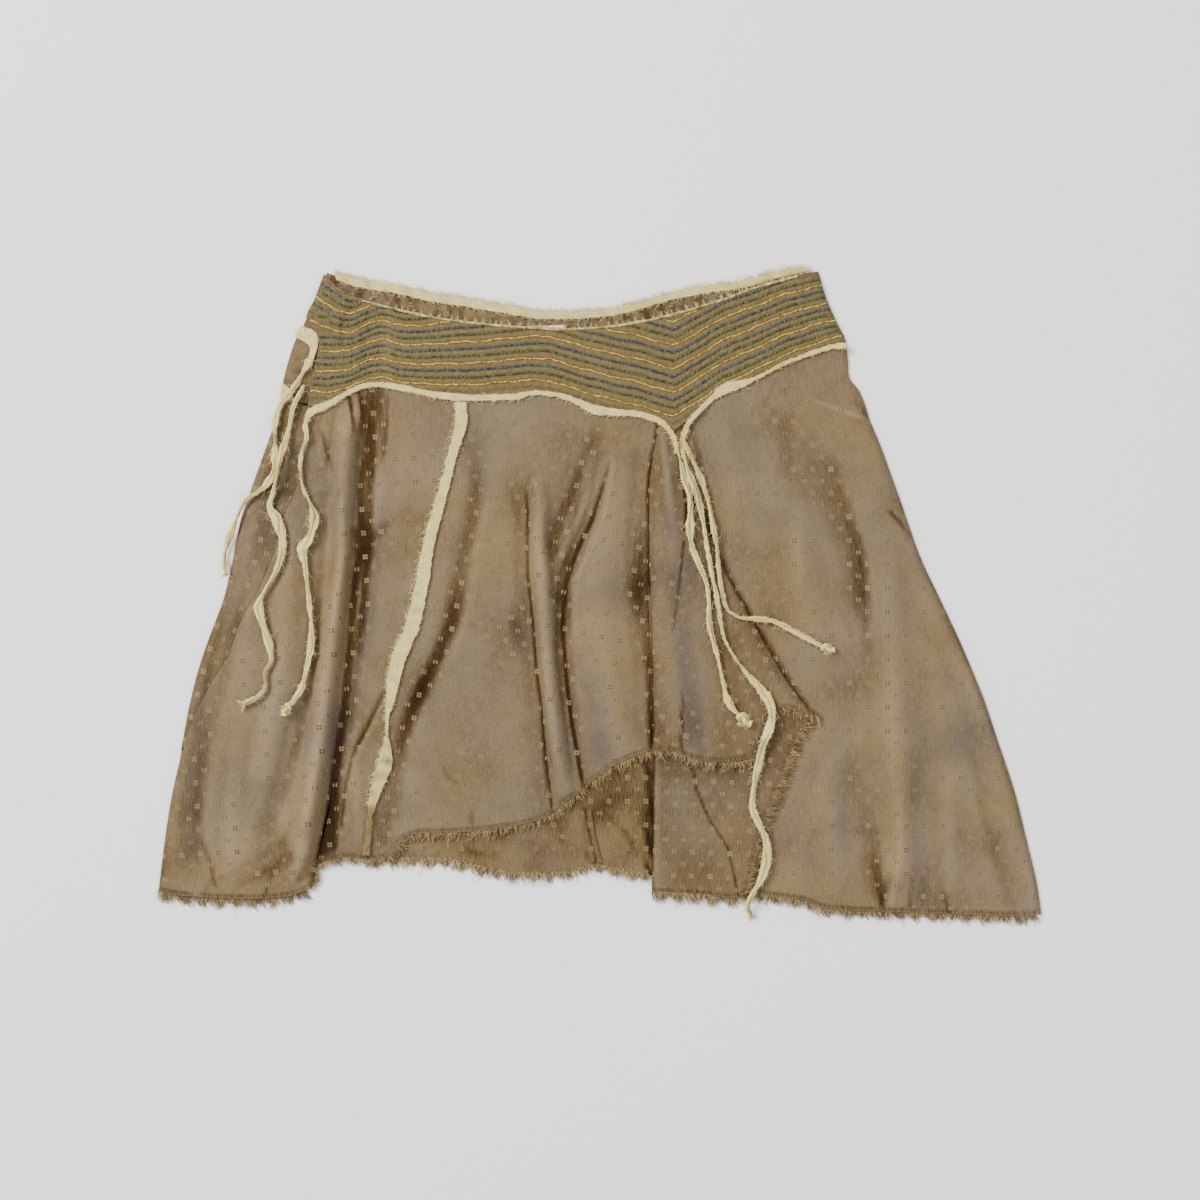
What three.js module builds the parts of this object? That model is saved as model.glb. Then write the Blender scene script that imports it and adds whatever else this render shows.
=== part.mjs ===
// Asymmetrical skirt, laid flat on its back. Millimetres; +X is the skirt's side away from the long
// ties, +Y runs towards the waist, +Z is up. Every wall stands on z = 0 or on the wall below it.
import * as THREE from "three";

// ---- driving sizes, mm ----
const CLOTH = 1.5;                  // wall of a cloth piece
const TORN = 1.0;                   // wall of a torn trim
const GAP = 0.3;                    // play between two sewn pieces
const LOW = CLOTH + GAP;            // a piece that lies on the back
const SEAM = LOW + CLOTH + GAP;     // height of the front at its seams, with one more layer below
const OVER = SEAM + CLOTH + GAP;    // what lies over the front's seams
const PUFF = 1.0;                   // how far the front's cloth rises between its seams
const EDGE_ROLL = 12;               // radius of the turn at the side edges
const ROWS = 16;                    // rows of a full-length gore
const TIE = 4.5;                    // width of a torn tie
const BACKING = 2.2;                // backing strip of a frayed edge
const STRAND = 0.8;                 // thickness of the frayed strands

const COLOUR = { satin: 0x96826a, yoke: 0x8a7350, torn: 0xcfc39c, fray: 0x9c7f50, label: 0xe2d3cd };

// ---- the skirt's lines, seen from above: x, y ----
const LINE = {
  // waist seam: left end - front trim - seam of the godet - V point - right end
  waist1: [[-234, 155], [-222, 156], [-205, 164], [-190, 169]],
  waist2: [[-190, 169], [-178, 172], [-162, 171], [-145, 167], [-128, 164], [-111, 162]],
  waist3: [[-111, 162], [-90, 161], [-68, 162], [-52, 165]],
  waist4: [[-52, 165], [-35, 163], [-20, 158], [-8, 152], [4, 150]],
  waist5: [[4, 150], [28, 149], [46, 143]],
  waist6: [[46, 143], [52, 140], [59, 135]],
  waist7: [[59, 135], [70, 144], [82, 154], [92, 163], [106, 169], [122, 175]],
  waist8: [[122, 175], [134, 183], [148, 189], [165, 196], [182, 202], [198, 203]],
  // lines that run down the front
  sideSeam: [[-234, 155], [-236, 130], [-240, 99], [-254, 63], [-259, 43], [-273, 9], [-287, -15],
    [-299, -46], [-313, -69], [-325, -94], [-334, -119]],
  leftEdgeLow: [[-334, -119], [-339, -137], [-344, -160], [-350, -200], [-354, -233]],
  pleat: [[-190, 169], [-187, 140], [-190, 100], [-193, 60], [-194, 40], [-198, 0], [-201, -40], [-206, -90],
    [-211, -130], [-217, -170], [-224, -200], [-231, -231]],
  frontSeam: [[-111, 162], [-111, 142], [-119, 112], [-129, 72], [-137, 44], [-143, 12], [-150, -21],
    [-163, -54], [-168, -76], [-170, -95], [-171, -110], [-175, -130], [-181, -150], [-185, -170],
    [-185, -190], [-186, -208]],
  creaseOne: [[-52, 165], [-54, 120], [-56, 84], [-59, 54], [-58, 23], [-54, -15], [-51, -54], [-47, -85],
    [-44, -123], [-40, -172]],
  creaseTwo: [[4, 150], [5, 125], [4, 100], [-2, 77], [-14, 46], [-25, 18], [-29, -23], [-27, -54], [-25, -77],
    [-19, -115], [-12, -148]],
  godetSeam: [[46, 143], [43, 120], [39, 99], [39, 60], [39, 23], [41, -8], [42, -54], [42, -90], [41, -120]],
  godetEdge: [[59, 135], [70, 108], [80, 80], [90, 50], [98, 28], [108, 10], [123, -18], [138, -45], [150, -67],
    [161, -80], [175, -93]],
  // left edge of the right gore, under the godet and the underlay
  rightHidden: [[59, 135], [65, 105], [73, 64], [82, 30], [94, 6], [106, -18], [119, -45], [128, -72],
    [130, -98], [127, -130], [121, -160], [114, -190], [109, -213], [108, -232]],
  rightMiddle: [[122, 175], [150, 130], [176, 100], [190, 70], [203, 32], [208, -16], [212, -80], [214, -150],
    [212, -200], [212, -249]],
  rightEdge: [[198, 203], [199, 190], [200, 178], [207, 169], [212, 158], [216, 145], [224, 126], [240, 82],
    [257, 34], [272, 2], [288, -32], [300, -60], [308, -80], [319, -113], [332, -152], [342, -192],
    [350, -226], [354, -252]],
  leftEdge: [[-256, 157], [-260, 144], [-270, 116], [-280, 88], [-288, 64], [-296, 24], [-302, 0], [-314, -32],
    [-322, -56], [-329, -84], [-336, -121]],
  underlayFold: [[43, -100], [42.5, -150], [42, -200], [41.5, -234]],
  underlayRise: [[104, -103], [117, -125], [114, -150], [109, -180], [103, -210], [100, -238]],
  slit: [[168, -91], [154, -118], [146, -140], [138, -160], [131, -178], [125, -201], [120, -222], [117, -235]],
  // hems
  hemLeft: [[-354, -233], [-340, -236], [-316, -238], [-300, -239], [-272, -239], [-250, -237], [-240, -234],
    [-231, -231]],
  hemPleat: [[-231, -231], [-229, -220], [-226, -212], [-215, -208], [-203, -206], [-186, -208]],
  hemCentre1: [[-186, -208], [-172, -206], [-163, -199], [-157, -190], [-145, -187], [-120, -186],
    [-100, -185], [-70, -181], [-52, -177], [-40, -172]],
  hemCentre2: [[-40, -172], [-30, -163], [-20, -157], [-12, -148]],
  hemCentre3: [[-12, -148], [0, -140], [10, -133], [20, -128], [41, -120]],
  hemGodet: [[41, -120], [60, -121], [72, -126], [90, -129], [110, -128], [122, -124], [130, -108],
    [135, -94], [142, -86], [155, -88], [175, -93]],
  underlayTop: [[43, -100], [70, -103], [104, -103]],
  underlayTopRight: [[104, -103], [124, -96], [138, -80], [152, -77], [168, -91]],
  hemUnderlay: [[41.5, -234], [60, -235], [80, -236], [100, -238]],
  hemUnderlayRight: [[100, -238], [109, -238], [117, -235]],
  hemRight1: [[108, -232], [124, -235], [145, -238], [165, -241], [177, -246], [195, -248], [212, -249]],
  hemRight2: [[212, -249], [240, -250], [270, -251], [300, -252], [330, -253], [354, -252]],
  // front yoke
  yokeTop1: [[-221, 261], [-214, 254], [-198, 243], [-190, 241]],
  yokeTop2: [[-190, 241], [-175, 238], [-163, 233], [-150, 230], [-130, 226], [-111, 223]],
  yokeTop3: [[-111, 223], [-90, 221], [-70, 219], [-52, 218]],
  yokeTop4: [[-52, 218], [-28, 217], [4, 219]],
  yokeTop5: [[4, 219], [20, 221], [46, 226]],
  yokeTop6: [[46, 226], [52, 227], [59, 229]],
  yokeTop7: [[59, 229], [69, 231], [98, 241], [122, 250]],
  yokeTop8: [[122, 250], [147, 257], [175, 263]],
  yokeLeft: [[-221, 261], [-229, 240], [-235, 226], [-229, 217], [-225, 208], [-226, 197], [-231, 176],
    [-234, 155]],
  yokeRight: [[175, 263], [182, 240], [190, 222], [196, 210], [198, 203]],
};

// ---- folds: x, y, share of the height; width to the left and to the right of the line; height ----
const FOLDS = [
  { at: [[-188, 150, 0.5], [-189, 110, 1], [-193, 50, 1.2], [-198, 0, 1], [-206, -90, 1], [-217, -170, 1.1],
    [-226, -210, 1]], left: 7, right: 16, high: -4.2 },
  { at: [[-199, 150, 0.5], [-204, 90, 0.8], [-208, 20, 0.9], [-214, -40, 1], [-222, -110, 1.1],
    [-231, -170, 1.2], [-240, -215, 1]], left: 15, right: 10, high: 4.6 },
  { at: [[-216, 80, 0.6], [-213, 40, 1], [-222, -15, 1], [-236, -80, 0.9], [-252, -150, 1],
    [-266, -185, 0.8]], left: 13, right: 12, high: -2.0 },
  { at: [[-247, 70, 0.6], [-248, 0, 1], [-255, -70, 1], [-268, -140, 0.9]], left: 16, right: 14, high: 1.8 },
  { at: [[-284, 60, 0.4], [-292, 0, 0.8], [-304, -60, 1], [-318, -120, 1], [-327, -180, 1.1],
    [-320, -215, 0.6]], left: 13, right: 16, high: -2.2 },
  { at: [[-305, -236, 0.6], [-282, -222, 1], [-262, -211, 1], [-240, -192, 0.8]], left: 14, right: 14, high: -2.0 },
  { at: [[-198, -112, 0.5], [-198, -150, 1], [-196, -192, 0.9]], left: 8, right: 9, high: 2.4 },
  { at: [[-104, 112, 0.4], [-102, 77, 0.8], [-111, 40, 1], [-116, -8, 1], [-127, -34, 1], [-143, -60, 1],
    [-158, -105, 0.6]], left: 13, right: 15, high: -2.6 },
  { at: [[-56, 84, 0.6], [-59, 54, 0.9], [-57, 10, 0.8], [-51, -54, 0.9], [-44, -123, 1], [-39, -160, 0.6]],
    left: 14, right: 6, high: -2.4 },
  { at: [[-48, 90, 0.6], [-46, 40, 0.8], [-44, -10, 0.9], [-40, -70, 1], [-34, -120, 1], [-29, -152, 0.7]],
    left: 10, right: 10, high: 3.4 },
  { at: [[4, 112, 0.6], [-2, 77, 0.9], [-14, 46, 1], [-26, 18, 1.2], [-29, -40, 1], [-24, -80, 1],
    [-18, -120, 0.8], [-14, -140, 0.4]], left: 9, right: 9, high: -3.4 },
  { at: [[-12, 122, 0.6], [-24, 90, 0.9], [-35, 62, 1], [-38, 40, 0.8]], left: 12, right: 12, high: -2.0 },
  { at: [[-60, 10, 0.6], [-64, -16, 1], [-60, -38, 0.7]], left: 9, right: 9, high: -1.6 },
  { at: [[10, 60, 0.5], [2, 10, 1], [4, -50, 1], [12, -100, 0.6]], left: 18, right: 18, high: 2.0 },
  { at: [[36, 112, 0.5], [33, 50, 0.9], [32, 0, 1.1], [38, -50, 0.9], [40, -105, 0.7]], left: 15, right: 12,
    high: -2.8 },
  { at: [[52, 90, 0.5], [51, 40, 1], [52, -40, 1], [53, -95, 0.8]], left: 10, right: 11, high: 1.8 },
  { at: [[152, 140, 0.7], [150, 100, 0.6]], left: 12, right: 12, high: -1.4 },
  { at: [[172, 125, 0.4], [186, 78, 0.8], [204, 30, 1], [208, -18, 0.7]], left: 16, right: 15, high: -2.4 },
  { at: [[222, 90, 0.5], [228, 20, 0.8], [232, -60, 0.8], [236, -150, 1], [236, -215, 1.1]], left: 18,
    right: 20, high: 1.9 },
  { at: [[160, 60, 0.5], [166, 0, 0.8], [180, -80, 0.7], [186, -170, 0.8]], left: 20, right: 20, high: 1.5 },
  { at: [[222, -190, 0.4], [218, -215, 1], [224, -240, 0.9]], left: 12, right: 12, high: -2.0 },
  { at: [[300, -110, 0.4], [318, -180, 0.8], [331, -225, 1], [336, -246, 0.8]], left: 14, right: 10, high: -2.2 },
];

// ---- making of curves ----
const curve = (points) => new THREE.CatmullRomCurve3(
  points.map(([x, y, z = 0]) => new THREE.Vector3(x, y, z)), false, "centripetal");

/** Points along one of the skirt's lines, at shares 0..1 of its length. */
function along(name, shares) {
  const path = curve(LINE[name]);
  return shares.map((share) => path.getPointAt(share));
}

/** n + 1 even shares from 0 to 1. */
const even = (n) => Array.from({ length: n + 1 }, (_, i) => i / n);

const smooth = (s) => THREE.MathUtils.smoothstep(s, 0, 1);

/** Nearest point of a run of points: distance, side (+1 on the right of a line that runs down), third column. */
function nearest(points, x, y) {
  let best = { d: Infinity, side: 1, share: 1 };
  for (let i = 0; i + 1 < points.length; i += 1) {
    const [ax, ay, as = 1] = points[i];
    const [bx, by, bs = 1] = points[i + 1];
    const dx = bx - ax;
    const dy = by - ay;
    const t = THREE.MathUtils.clamp(((x - ax) * dx + (y - ay) * dy) / (dx * dx + dy * dy), 0, 1);
    const ox = x - ax - t * dx;
    const oy = y - ay - t * dy;
    const d = Math.hypot(ox, oy);
    if (d < best.d) best = { d, side: dx * oy - dy * ox >= 0 ? 1 : -1, share: as + t * (bs - as) };
  }
  return best;
}

const WAIST = ["waist1", "waist2", "waist3", "waist4", "waist5", "waist6", "waist7", "waist8"]
  .flatMap((name) => LINE[name]);
const HEM = ["hemLeft", "hemPleat", "hemCentre1", "hemCentre2", "hemCentre3", "hemGodet"]
  .flatMap((name) => LINE[name]);
const HEM_RIGHT = [...LINE.hemRight1, ...LINE.hemRight2];
const LEFT_OUTLINE = [[-221, 262], [-229, 240], [-238, 220], [-244, 209], [-252, 185], [-256, 160],
  ...LINE.leftEdge, ...LINE.leftEdgeLow.slice(1)];
const RIGHT_OUTLINE = [...LINE.yokeRight, ...LINE.rightEdge.slice(1)];

// ---- heights of the walls' undersides ----
/** 0 at the side edges, 1 where the cloth has turned over to the front. */
function turned(x, y) {
  const d = Math.min(nearest(LEFT_OUTLINE, x, y).d, nearest(RIGHT_OUTLINE, x, y).d);
  return Math.sqrt(1 - (1 - Math.min(d / EDGE_ROLL, 1)) ** 2);
}

/** Height that the folds add at a place of the front. */
function folds(x, y) {
  let sum = 0;
  for (const fold of FOLDS) {
    const { d, side, share } = nearest(fold.at, x, y);
    const s = d / (side > 0 ? fold.right : fold.left);
    if (s < 1) sum += fold.high * share * (1 - s * s) ** 2;
  }
  return sum;
}

/** 0 along a seam that holds the cloth down, 1 away from it. */
function free(x, y) {
  const waist = smooth((nearest(WAIST, x, y).d - 8) / 28);
  const seam = smooth((nearest(LINE.frontSeam, x, y).d - 12) / 22);
  return waist * seam;
}

/** Softly keeps a height above zero. */
const keepUp = (h) => Math.log(1 + Math.exp(1.6 * h)) / 1.6;

const lift = {
  yoke: (x, y) => LOW + turned(x, y) * (SEAM - LOW),
  front(x, y) {
    const hem = 0.35 + 0.65 * smooth(nearest(HEM, x, y).d / 40);
    const cloth = SEAM - LOW + free(x, y) * (PUFF + folds(x, y));
    return LOW + turned(x, y) * keepUp(cloth) * hem;
  },
  right(x, y) {
    const hem = 0.35 + 0.65 * smooth(nearest(HEM_RIGHT, x, y).d / 30);
    const over = nearest([...LINE.godetEdge, ...LINE.slit.slice(1)], x, y);
    const bare = over.side > 0 ? smooth((over.d - 22) / 18) : 0;
    const cloth = SEAM - LOW + free(x, y) * (PUFF + folds(x, y));
    return LOW + turned(x, y) * bare * keepUp(cloth) * hem;
  },
  godet(x, y) {
    const step = (OVER - SEAM) * smooth((-y - 40) / 28);
    return SEAM + step + free(x, y) * 0.7 * Math.max(0, folds(x, y));
  },
  underlay(x, y) {
    const rise = nearest(LINE.underlayRise, x, y);
    const s = rise.side > 0 ? 1 : smooth(1 - rise.d / 14);
    return LOW + (SEAM - LOW) * s;
  },
};

// ---- making of solids ----
const group = new THREE.Group();
group.name = "asymmetrical_skirt";
const solids = {};

function add(name, geometry, colour) {
  const material = new THREE.MeshStandardMaterial({ color: colour, roughness: 0.8, metalness: 0 });
  const mesh = new THREE.Mesh(geometry, material);
  mesh.name = name;
  solids[name] = mesh;
  group.add(mesh);
  return mesh;
}

function solidFrom(vertices, faces) {
  const geometry = new THREE.BufferGeometry();
  geometry.setAttribute("position", new THREE.Float32BufferAttribute(vertices.flat(), 3));
  geometry.setIndex(faces.flat());
  geometry.computeVertexNormals();
  return geometry;
}

/** One wall over a grid of places: rows run from the waist down, each from left to right. */
function wallFromGrid(grid, height, wall) {
  const rows = grid.length;
  const cols = grid[0].length;
  const vertices = [];
  for (const up of [wall, 0]) {
    for (const row of grid) for (const p of row) vertices.push([p.x, p.y, height(p.x, p.y) + up]);
  }
  const top = (i, j) => i * cols + j;
  const low = (i, j) => rows * cols + i * cols + j;
  const faces = [];
  for (let i = 0; i + 1 < rows; i += 1) {
    for (let j = 0; j + 1 < cols; j += 1) {
      faces.push([top(i, j), top(i + 1, j), top(i + 1, j + 1)], [top(i, j), top(i + 1, j + 1), top(i, j + 1)]);
      faces.push([low(i, j), low(i + 1, j + 1), low(i + 1, j)], [low(i, j), low(i, j + 1), low(i + 1, j + 1)]);
    }
  }
  const ring = [];
  for (let i = 0; i < rows; i += 1) ring.push([i, 0]);
  for (let j = 1; j < cols; j += 1) ring.push([rows - 1, j]);
  for (let i = rows - 2; i >= 0; i -= 1) ring.push([i, cols - 1]);
  for (let j = cols - 2; j > 0; j -= 1) ring.push([0, j]);
  ring.forEach(([i, j], k) => {
    const [m, n] = ring[(k + 1) % ring.length];
    faces.push([top(i, j), low(i, j), low(m, n)], [top(i, j), low(m, n), top(m, n)]);
  });
  return solidFrom(vertices, faces);
}

/** One wall over a closed outline that runs counter-clockwise. */
function wallFromOutline(outline, height, wall) {
  const flat = outline.map(([x, y]) => new THREE.Vector2(x, y));
  const ring = THREE.ShapeUtils.isClockWise(flat) ? flat.reverse() : flat;
  const n = ring.length;
  const vertices = [
    ...ring.map((p) => [p.x, p.y, height(p.x, p.y) + wall]),
    ...ring.map((p) => [p.x, p.y, height(p.x, p.y)])];
  const faces = [];
  for (const [a, b, c] of THREE.ShapeUtils.triangulateShape(ring, [])) {
    faces.push([a, b, c], [n + c, n + b, n + a]);
  }
  for (let i = 0; i < n; i += 1) {
    const j = (i + 1) % n;
    faces.push([i, n + i, n + j], [i, n + j, j]);
  }
  return solidFrom(vertices, faces);
}

/** Grid between two rails and two cross lines (a Coons patch); the rails' ends are the cross lines' ends. */
function patch(left, right, upper, lower) {
  const m = left.length - 1;
  const n = upper.length - 1;
  return left.map((_, i) => upper.map((__, j) => {
    const v = i / m;
    const u = j / n;
    const p = new THREE.Vector3();
    p.addScaledVector(left[i], 1 - u).addScaledVector(right[i], u);
    p.addScaledVector(upper[j], 1 - v).addScaledVector(lower[j], v);
    p.addScaledVector(upper[0], -(1 - u) * (1 - v)).addScaledVector(upper[n], -u * (1 - v));
    return p.addScaledVector(lower[0], -(1 - u) * v).addScaledVector(lower[n], -u * v);
  }));
}

/** Patches side by side: rails of n + 1 points, cross lines between them. */
function gore(rails, uppers, lowers) {
  const rows = rails[0].map(() => []);
  uppers.forEach((upper, k) => {
    const part = patch(rails[k], rails[k + 1], upper, lowers[k]);
    part.forEach((row, i) => rows[i].push(...(k ? row.slice(1) : row)));
  });
  return rows;
}

/** Draws the border of a grid in by a distance, so that neighbours keep their play. */
function trimmed(grid, { left = 0, right = 0, top = 0, bottom = 0 }) {
  const pull = (p, q, by) => p.addScaledVector(q.clone().sub(p).normalize(), by);
  const last = grid.length - 1;
  const end = grid[0].length - 1;
  if (left) grid.forEach((row) => pull(row[0], row[1], left));
  if (right) grid.forEach((row) => pull(row[end], row[end - 1], right));
  if (top) grid[0].forEach((p, j) => pull(p, grid[1][j], top));
  if (bottom) grid[last].forEach((p, j) => pull(p, grid[last - 1][j], bottom));
  return grid;
}

/** Outline of a strip from rows of x, y, width. */
function strip(rows) {
  const path = rows.map(([x, y]) => new THREE.Vector2(x, y));
  const sides = [[], []];
  rows.forEach(([x, y, wide], i) => {
    const run = path[Math.min(i + 1, rows.length - 1)].clone().sub(path[Math.max(i - 1, 0)]).normalize();
    sides[0].push([x - run.y * wide / 2, y + run.x * wide / 2]);
    sides[1].push([x + run.y * wide / 2, y - run.x * wide / 2]);
  });
  return [...sides[1], ...sides[0].reverse()];
}

/** Rows of a long strip, filled in along a smooth line. */
function fill(rows, n) {
  const path = curve(rows.map(([x, y]) => [x, y]));
  const wide = curve(rows.map(([, , w], i) => [i, w]));
  return even(n).map((t) => {
    const p = path.getPoint(t);
    return [p.x, p.y, wide.getPoint(t).y];
  });
}

/** Height at which something of a radius clears the solids below a place. */
function clear(below, x, y, radius) {
  let top = 0;
  const ray = new THREE.Raycaster();
  for (let k = 0; k < 9; k += 1) {
    const turn = k * Math.PI / 4;
    const reach = k === 8 ? 0 : radius;
    ray.set(new THREE.Vector3(x + reach * Math.cos(turn), y + reach * Math.sin(turn), 60),
      new THREE.Vector3(0, 0, -1));
    const [hit] = ray.intersectObjects(below);
    if (hit) top = Math.max(top, hit.point.z);
  }
  return top;
}

// ---- rails and rows of the gores ----
const DOWN = [0, 0.022, 0.055, ...even(ROWS - 3).map((s) => 0.1 + 0.9 * s)];
const sideRail = [...along("sideSeam", DOWN.filter((s) => s < 0.72).map((s) => s / 0.72)),
  ...along("leftEdgeLow", DOWN.filter((s) => s >= 0.72).map((s) => (s - 0.72) / 0.28))];
const rail = (name) => along(name, DOWN);
const cross = (name, n) => along(name, even(n));

// ---- back: flat walls on the floor ----
const flat = () => 0;
const yokeBackLow = [[-254.6, 173], [-236, 170], [-190, 172], [-150, 176], [-100, 174], [-60, 172], [-11, 163]];
const yokeBackLowRight = [[-11, 163], [20, 158], [58, 158], [90, 175], [120, 190], [160, 202], [197, 206]];
add("back_yoke", wallFromOutline([
  ...yokeBackLow.slice(0, -1), ...yokeBackLowRight,
  [196, 211], [190, 222], [182, 240], [175, 263.5], [147, 259], [125, 252.5], [105, 250.5], [85, 247.5],
  [60, 243.5], [33, 236], [9, 230.5], [-20, 227.5], [-49, 227.5], [-78, 232], [-107, 237.5], [-136, 242.5],
  [-163, 248.5], [-194, 254], [-219, 262.5], [-229, 240], [-238, 220], [-244, 209], [-251, 188],
], flat, CLOTH), COLOUR.satin);
const down = ([x, y]) => [x, y - GAP];
add("back_gore_left", wallFromOutline([
  ...[...yokeBackLow].reverse().map(down).map(([x, y], i) => (i ? [x, y] : [x - GAP / 2, y])),
  ...LINE.leftEdge, ...LINE.leftEdgeLow.slice(1, -1),
  [-352, -226], [-300, -234], [-250, -232], [-236, -226], [-228, -213], [-200, -207], [-160, -207],
  [-122, -208], [-91, -215], [-68, -219], [-38, -219], [-20, -216], [-3.15, -212], [-8.15, -190],
  [-12.15, -164], [-14.15, -100], [-12.15, 0],
], flat, CLOTH), COLOUR.satin);
add("back_gore_right", wallFromOutline([
  ...yokeBackLowRight.map(down).map(([x, y], i) => (i ? [x, y] : [x + GAP / 2, y])),
  ...LINE.rightEdge.slice(1, -1),
  [351, -245], [300, -247], [240, -245], [200, -243], [160, -236], [124, -229], [80, -226], [41, -221],
  [16, -216], [-2.85, -212], [-7.85, -190], [-11.85, -164], [-13.85, -100], [-11.85, 0],
], flat, CLOTH), COLOUR.satin);
add("back_seam_allowance", wallFromOutline(strip([
  [-11.6, -167, 8], [-10.5, -176, 9], [-8, -190, 9], [-3, -210, 9]]), () => LOW, 0.8), COLOUR.satin);

// ---- front gores ----
const leftGrid = gore(
  [sideRail, rail("pleat"), rail("frontSeam")],
  [cross("waist1", 7), cross("waist2", 6)], [cross("hemLeft", 7), cross("hemPleat", 6)]);
const centreGrid = gore(
  [rail("frontSeam"), rail("creaseOne"), rail("creaseTwo"), rail("godetSeam")],
  [cross("waist3", 5), cross("waist4", 4), cross("waist5", 4)],
  [cross("hemCentre1", 5), cross("hemCentre2", 4), cross("hemCentre3", 4)]);
const godetGrid = gore([rail("godetSeam"), rail("godetEdge")], [cross("waist6", 10)], [cross("hemGodet", 10)]);
const rightGrid = gore(
  [rail("rightHidden"), rail("rightMiddle"), rail("rightEdge")],
  [cross("waist7", 6), cross("waist8", 7)], [cross("hemRight1", 6), cross("hemRight2", 7)]);
const half = GAP / 2;
const gores = [
  add("front_gore_left", wallFromGrid(
    trimmed(leftGrid, { left: half, right: half, top: half }), lift.front, CLOTH), COLOUR.satin),
  add("front_gore_centre", wallFromGrid(
    trimmed(centreGrid, { left: half, right: half, top: half }), lift.front, CLOTH), COLOUR.satin),
  add("godet", wallFromGrid(trimmed(godetGrid, { left: half, right: half, top: half }),
    lift.godet, CLOTH), COLOUR.satin),
  add("front_gore_right", wallFromGrid(
    trimmed(rightGrid, { left: half, top: half }), lift.right, CLOTH), COLOUR.satin),
];
const upperRows = DOWN.filter((s) => s < 0.72).map((s) => s / 0.72);
const sideGrid = gore([along("leftEdge", upperRows), along("sideSeam", upperRows)],
  [even(3).map((s) => new THREE.Vector3(-256 + 22 * s, 157 - 2 * s, 0))],
  [even(3).map((s) => {
    const a = along("leftEdge", upperRows).at(-1);
    return a.lerp(along("sideSeam", upperRows).at(-1), s);
  })]);
gores.push(add("side_gore_left", wallFromGrid(
  trimmed(sideGrid, { right: half }), lift.front, CLOTH), COLOUR.satin));
const underlayGrid = gore(
  [along("underlayFold", even(7)), along("underlayRise", even(7)), along("slit", even(7))],
  [cross("underlayTop", 4), cross("underlayTopRight", 4)],
  [cross("hemUnderlay", 4), cross("hemUnderlayRight", 4)]);
gores.push(add("underlay_gore", wallFromGrid(underlayGrid, lift.underlay, CLOTH), COLOUR.satin));

// ---- front yoke and what belongs to the waist ----
const yokeRows = even(5);
const yokeGrid = gore(
  [along("yokeLeft", yokeRows), ...[["yokeTop1", "waist1"], ["yokeTop2", "waist2"], ["yokeTop3", "waist3"],
    ["yokeTop4", "waist4"], ["yokeTop5", "waist5"], ["yokeTop6", "waist6"], ["yokeTop7", "waist7"]]
    .map(([a, b]) => yokeRows.map((s) => curve([LINE[a].at(-1), LINE[b].at(-1)]).getPointAt(s))),
  along("yokeRight", yokeRows)],
  [["yokeTop1", 7], ["yokeTop2", 6], ["yokeTop3", 5], ["yokeTop4", 4], ["yokeTop5", 4], ["yokeTop6", 10],
    ["yokeTop7", 6], ["yokeTop8", 7]].map(([name, n]) => cross(name, n)),
  [["waist1", 7], ["waist2", 6], ["waist3", 5], ["waist4", 4], ["waist5", 4], ["waist6", 10],
    ["waist7", 6], ["waist8", 7]].map(([name, n]) => cross(name, n)));
const yoke = add("front_yoke", wallFromGrid(trimmed(yokeGrid, { bottom: half }), lift.yoke, CLOTH), COLOUR.yoke);
const onBack = () => LOW;
add("yoke_placket", wallFromOutline([[-227.5, 199], [-232, 177], [-235.5, 161], [-243, 161], [-237, 180]],
  onBack, CLOTH), COLOUR.satin);
add("trim_waist_back", wallFromOutline(strip(fill([
  [-212, 259, 5], [-192, 253.5, 6], [-163, 248.5, 6], [-136, 242.5, 6], [-107, 238, 6], [-78, 233, 6],
  [-49, 228, 5], [-20, 228, 5], [9, 230.5, 5], [33, 236, 5], [58, 243, 5], [85, 248.5, 5], [105, 251, 5],
  [122, 254.5, 4.5], [139, 260, 4.5], [156, 263, 4], [168, 265, 3]], 30)), onBack, TORN), COLOUR.torn);
const onFront = () => OVER;
add("binding_waist_front", wallFromOutline(strip(fill([
  [-190, 238.5, 2.2], [-163, 231.5, 2.2], [-130, 224.5, 2.2], [-90, 219.3, 2.2], [-52, 216.4, 2.2],
  [-28, 215.6, 2.2], [4, 217.4, 2.2], [46, 224.4, 2.2], [98, 239, 2.4], [122, 248, 2.4], [158, 257.5, 2.4]],
26)), onFront, 0.8), COLOUR.torn);
add("label_blank", wallFromOutline([[-66, 221.5], [-66, 212], [-28, 211], [-28, 220.5]], onBack, 0.6),
  COLOUR.label);
add("patch_side_upper", wallFromOutline([[-239, 219.5], [-231, 215], [-227, 209], [-228, 202], [-234, 206],
  [-240, 208.5], [-244, 210.5], [-242.5, 214]], onBack, TORN), COLOUR.torn);
add("patch_side_lower", wallFromOutline([[-254.5, 174], [-248.5, 169], [-244.5, 160], [-256, 159.5]],
  onBack, TORN), COLOUR.torn);

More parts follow.
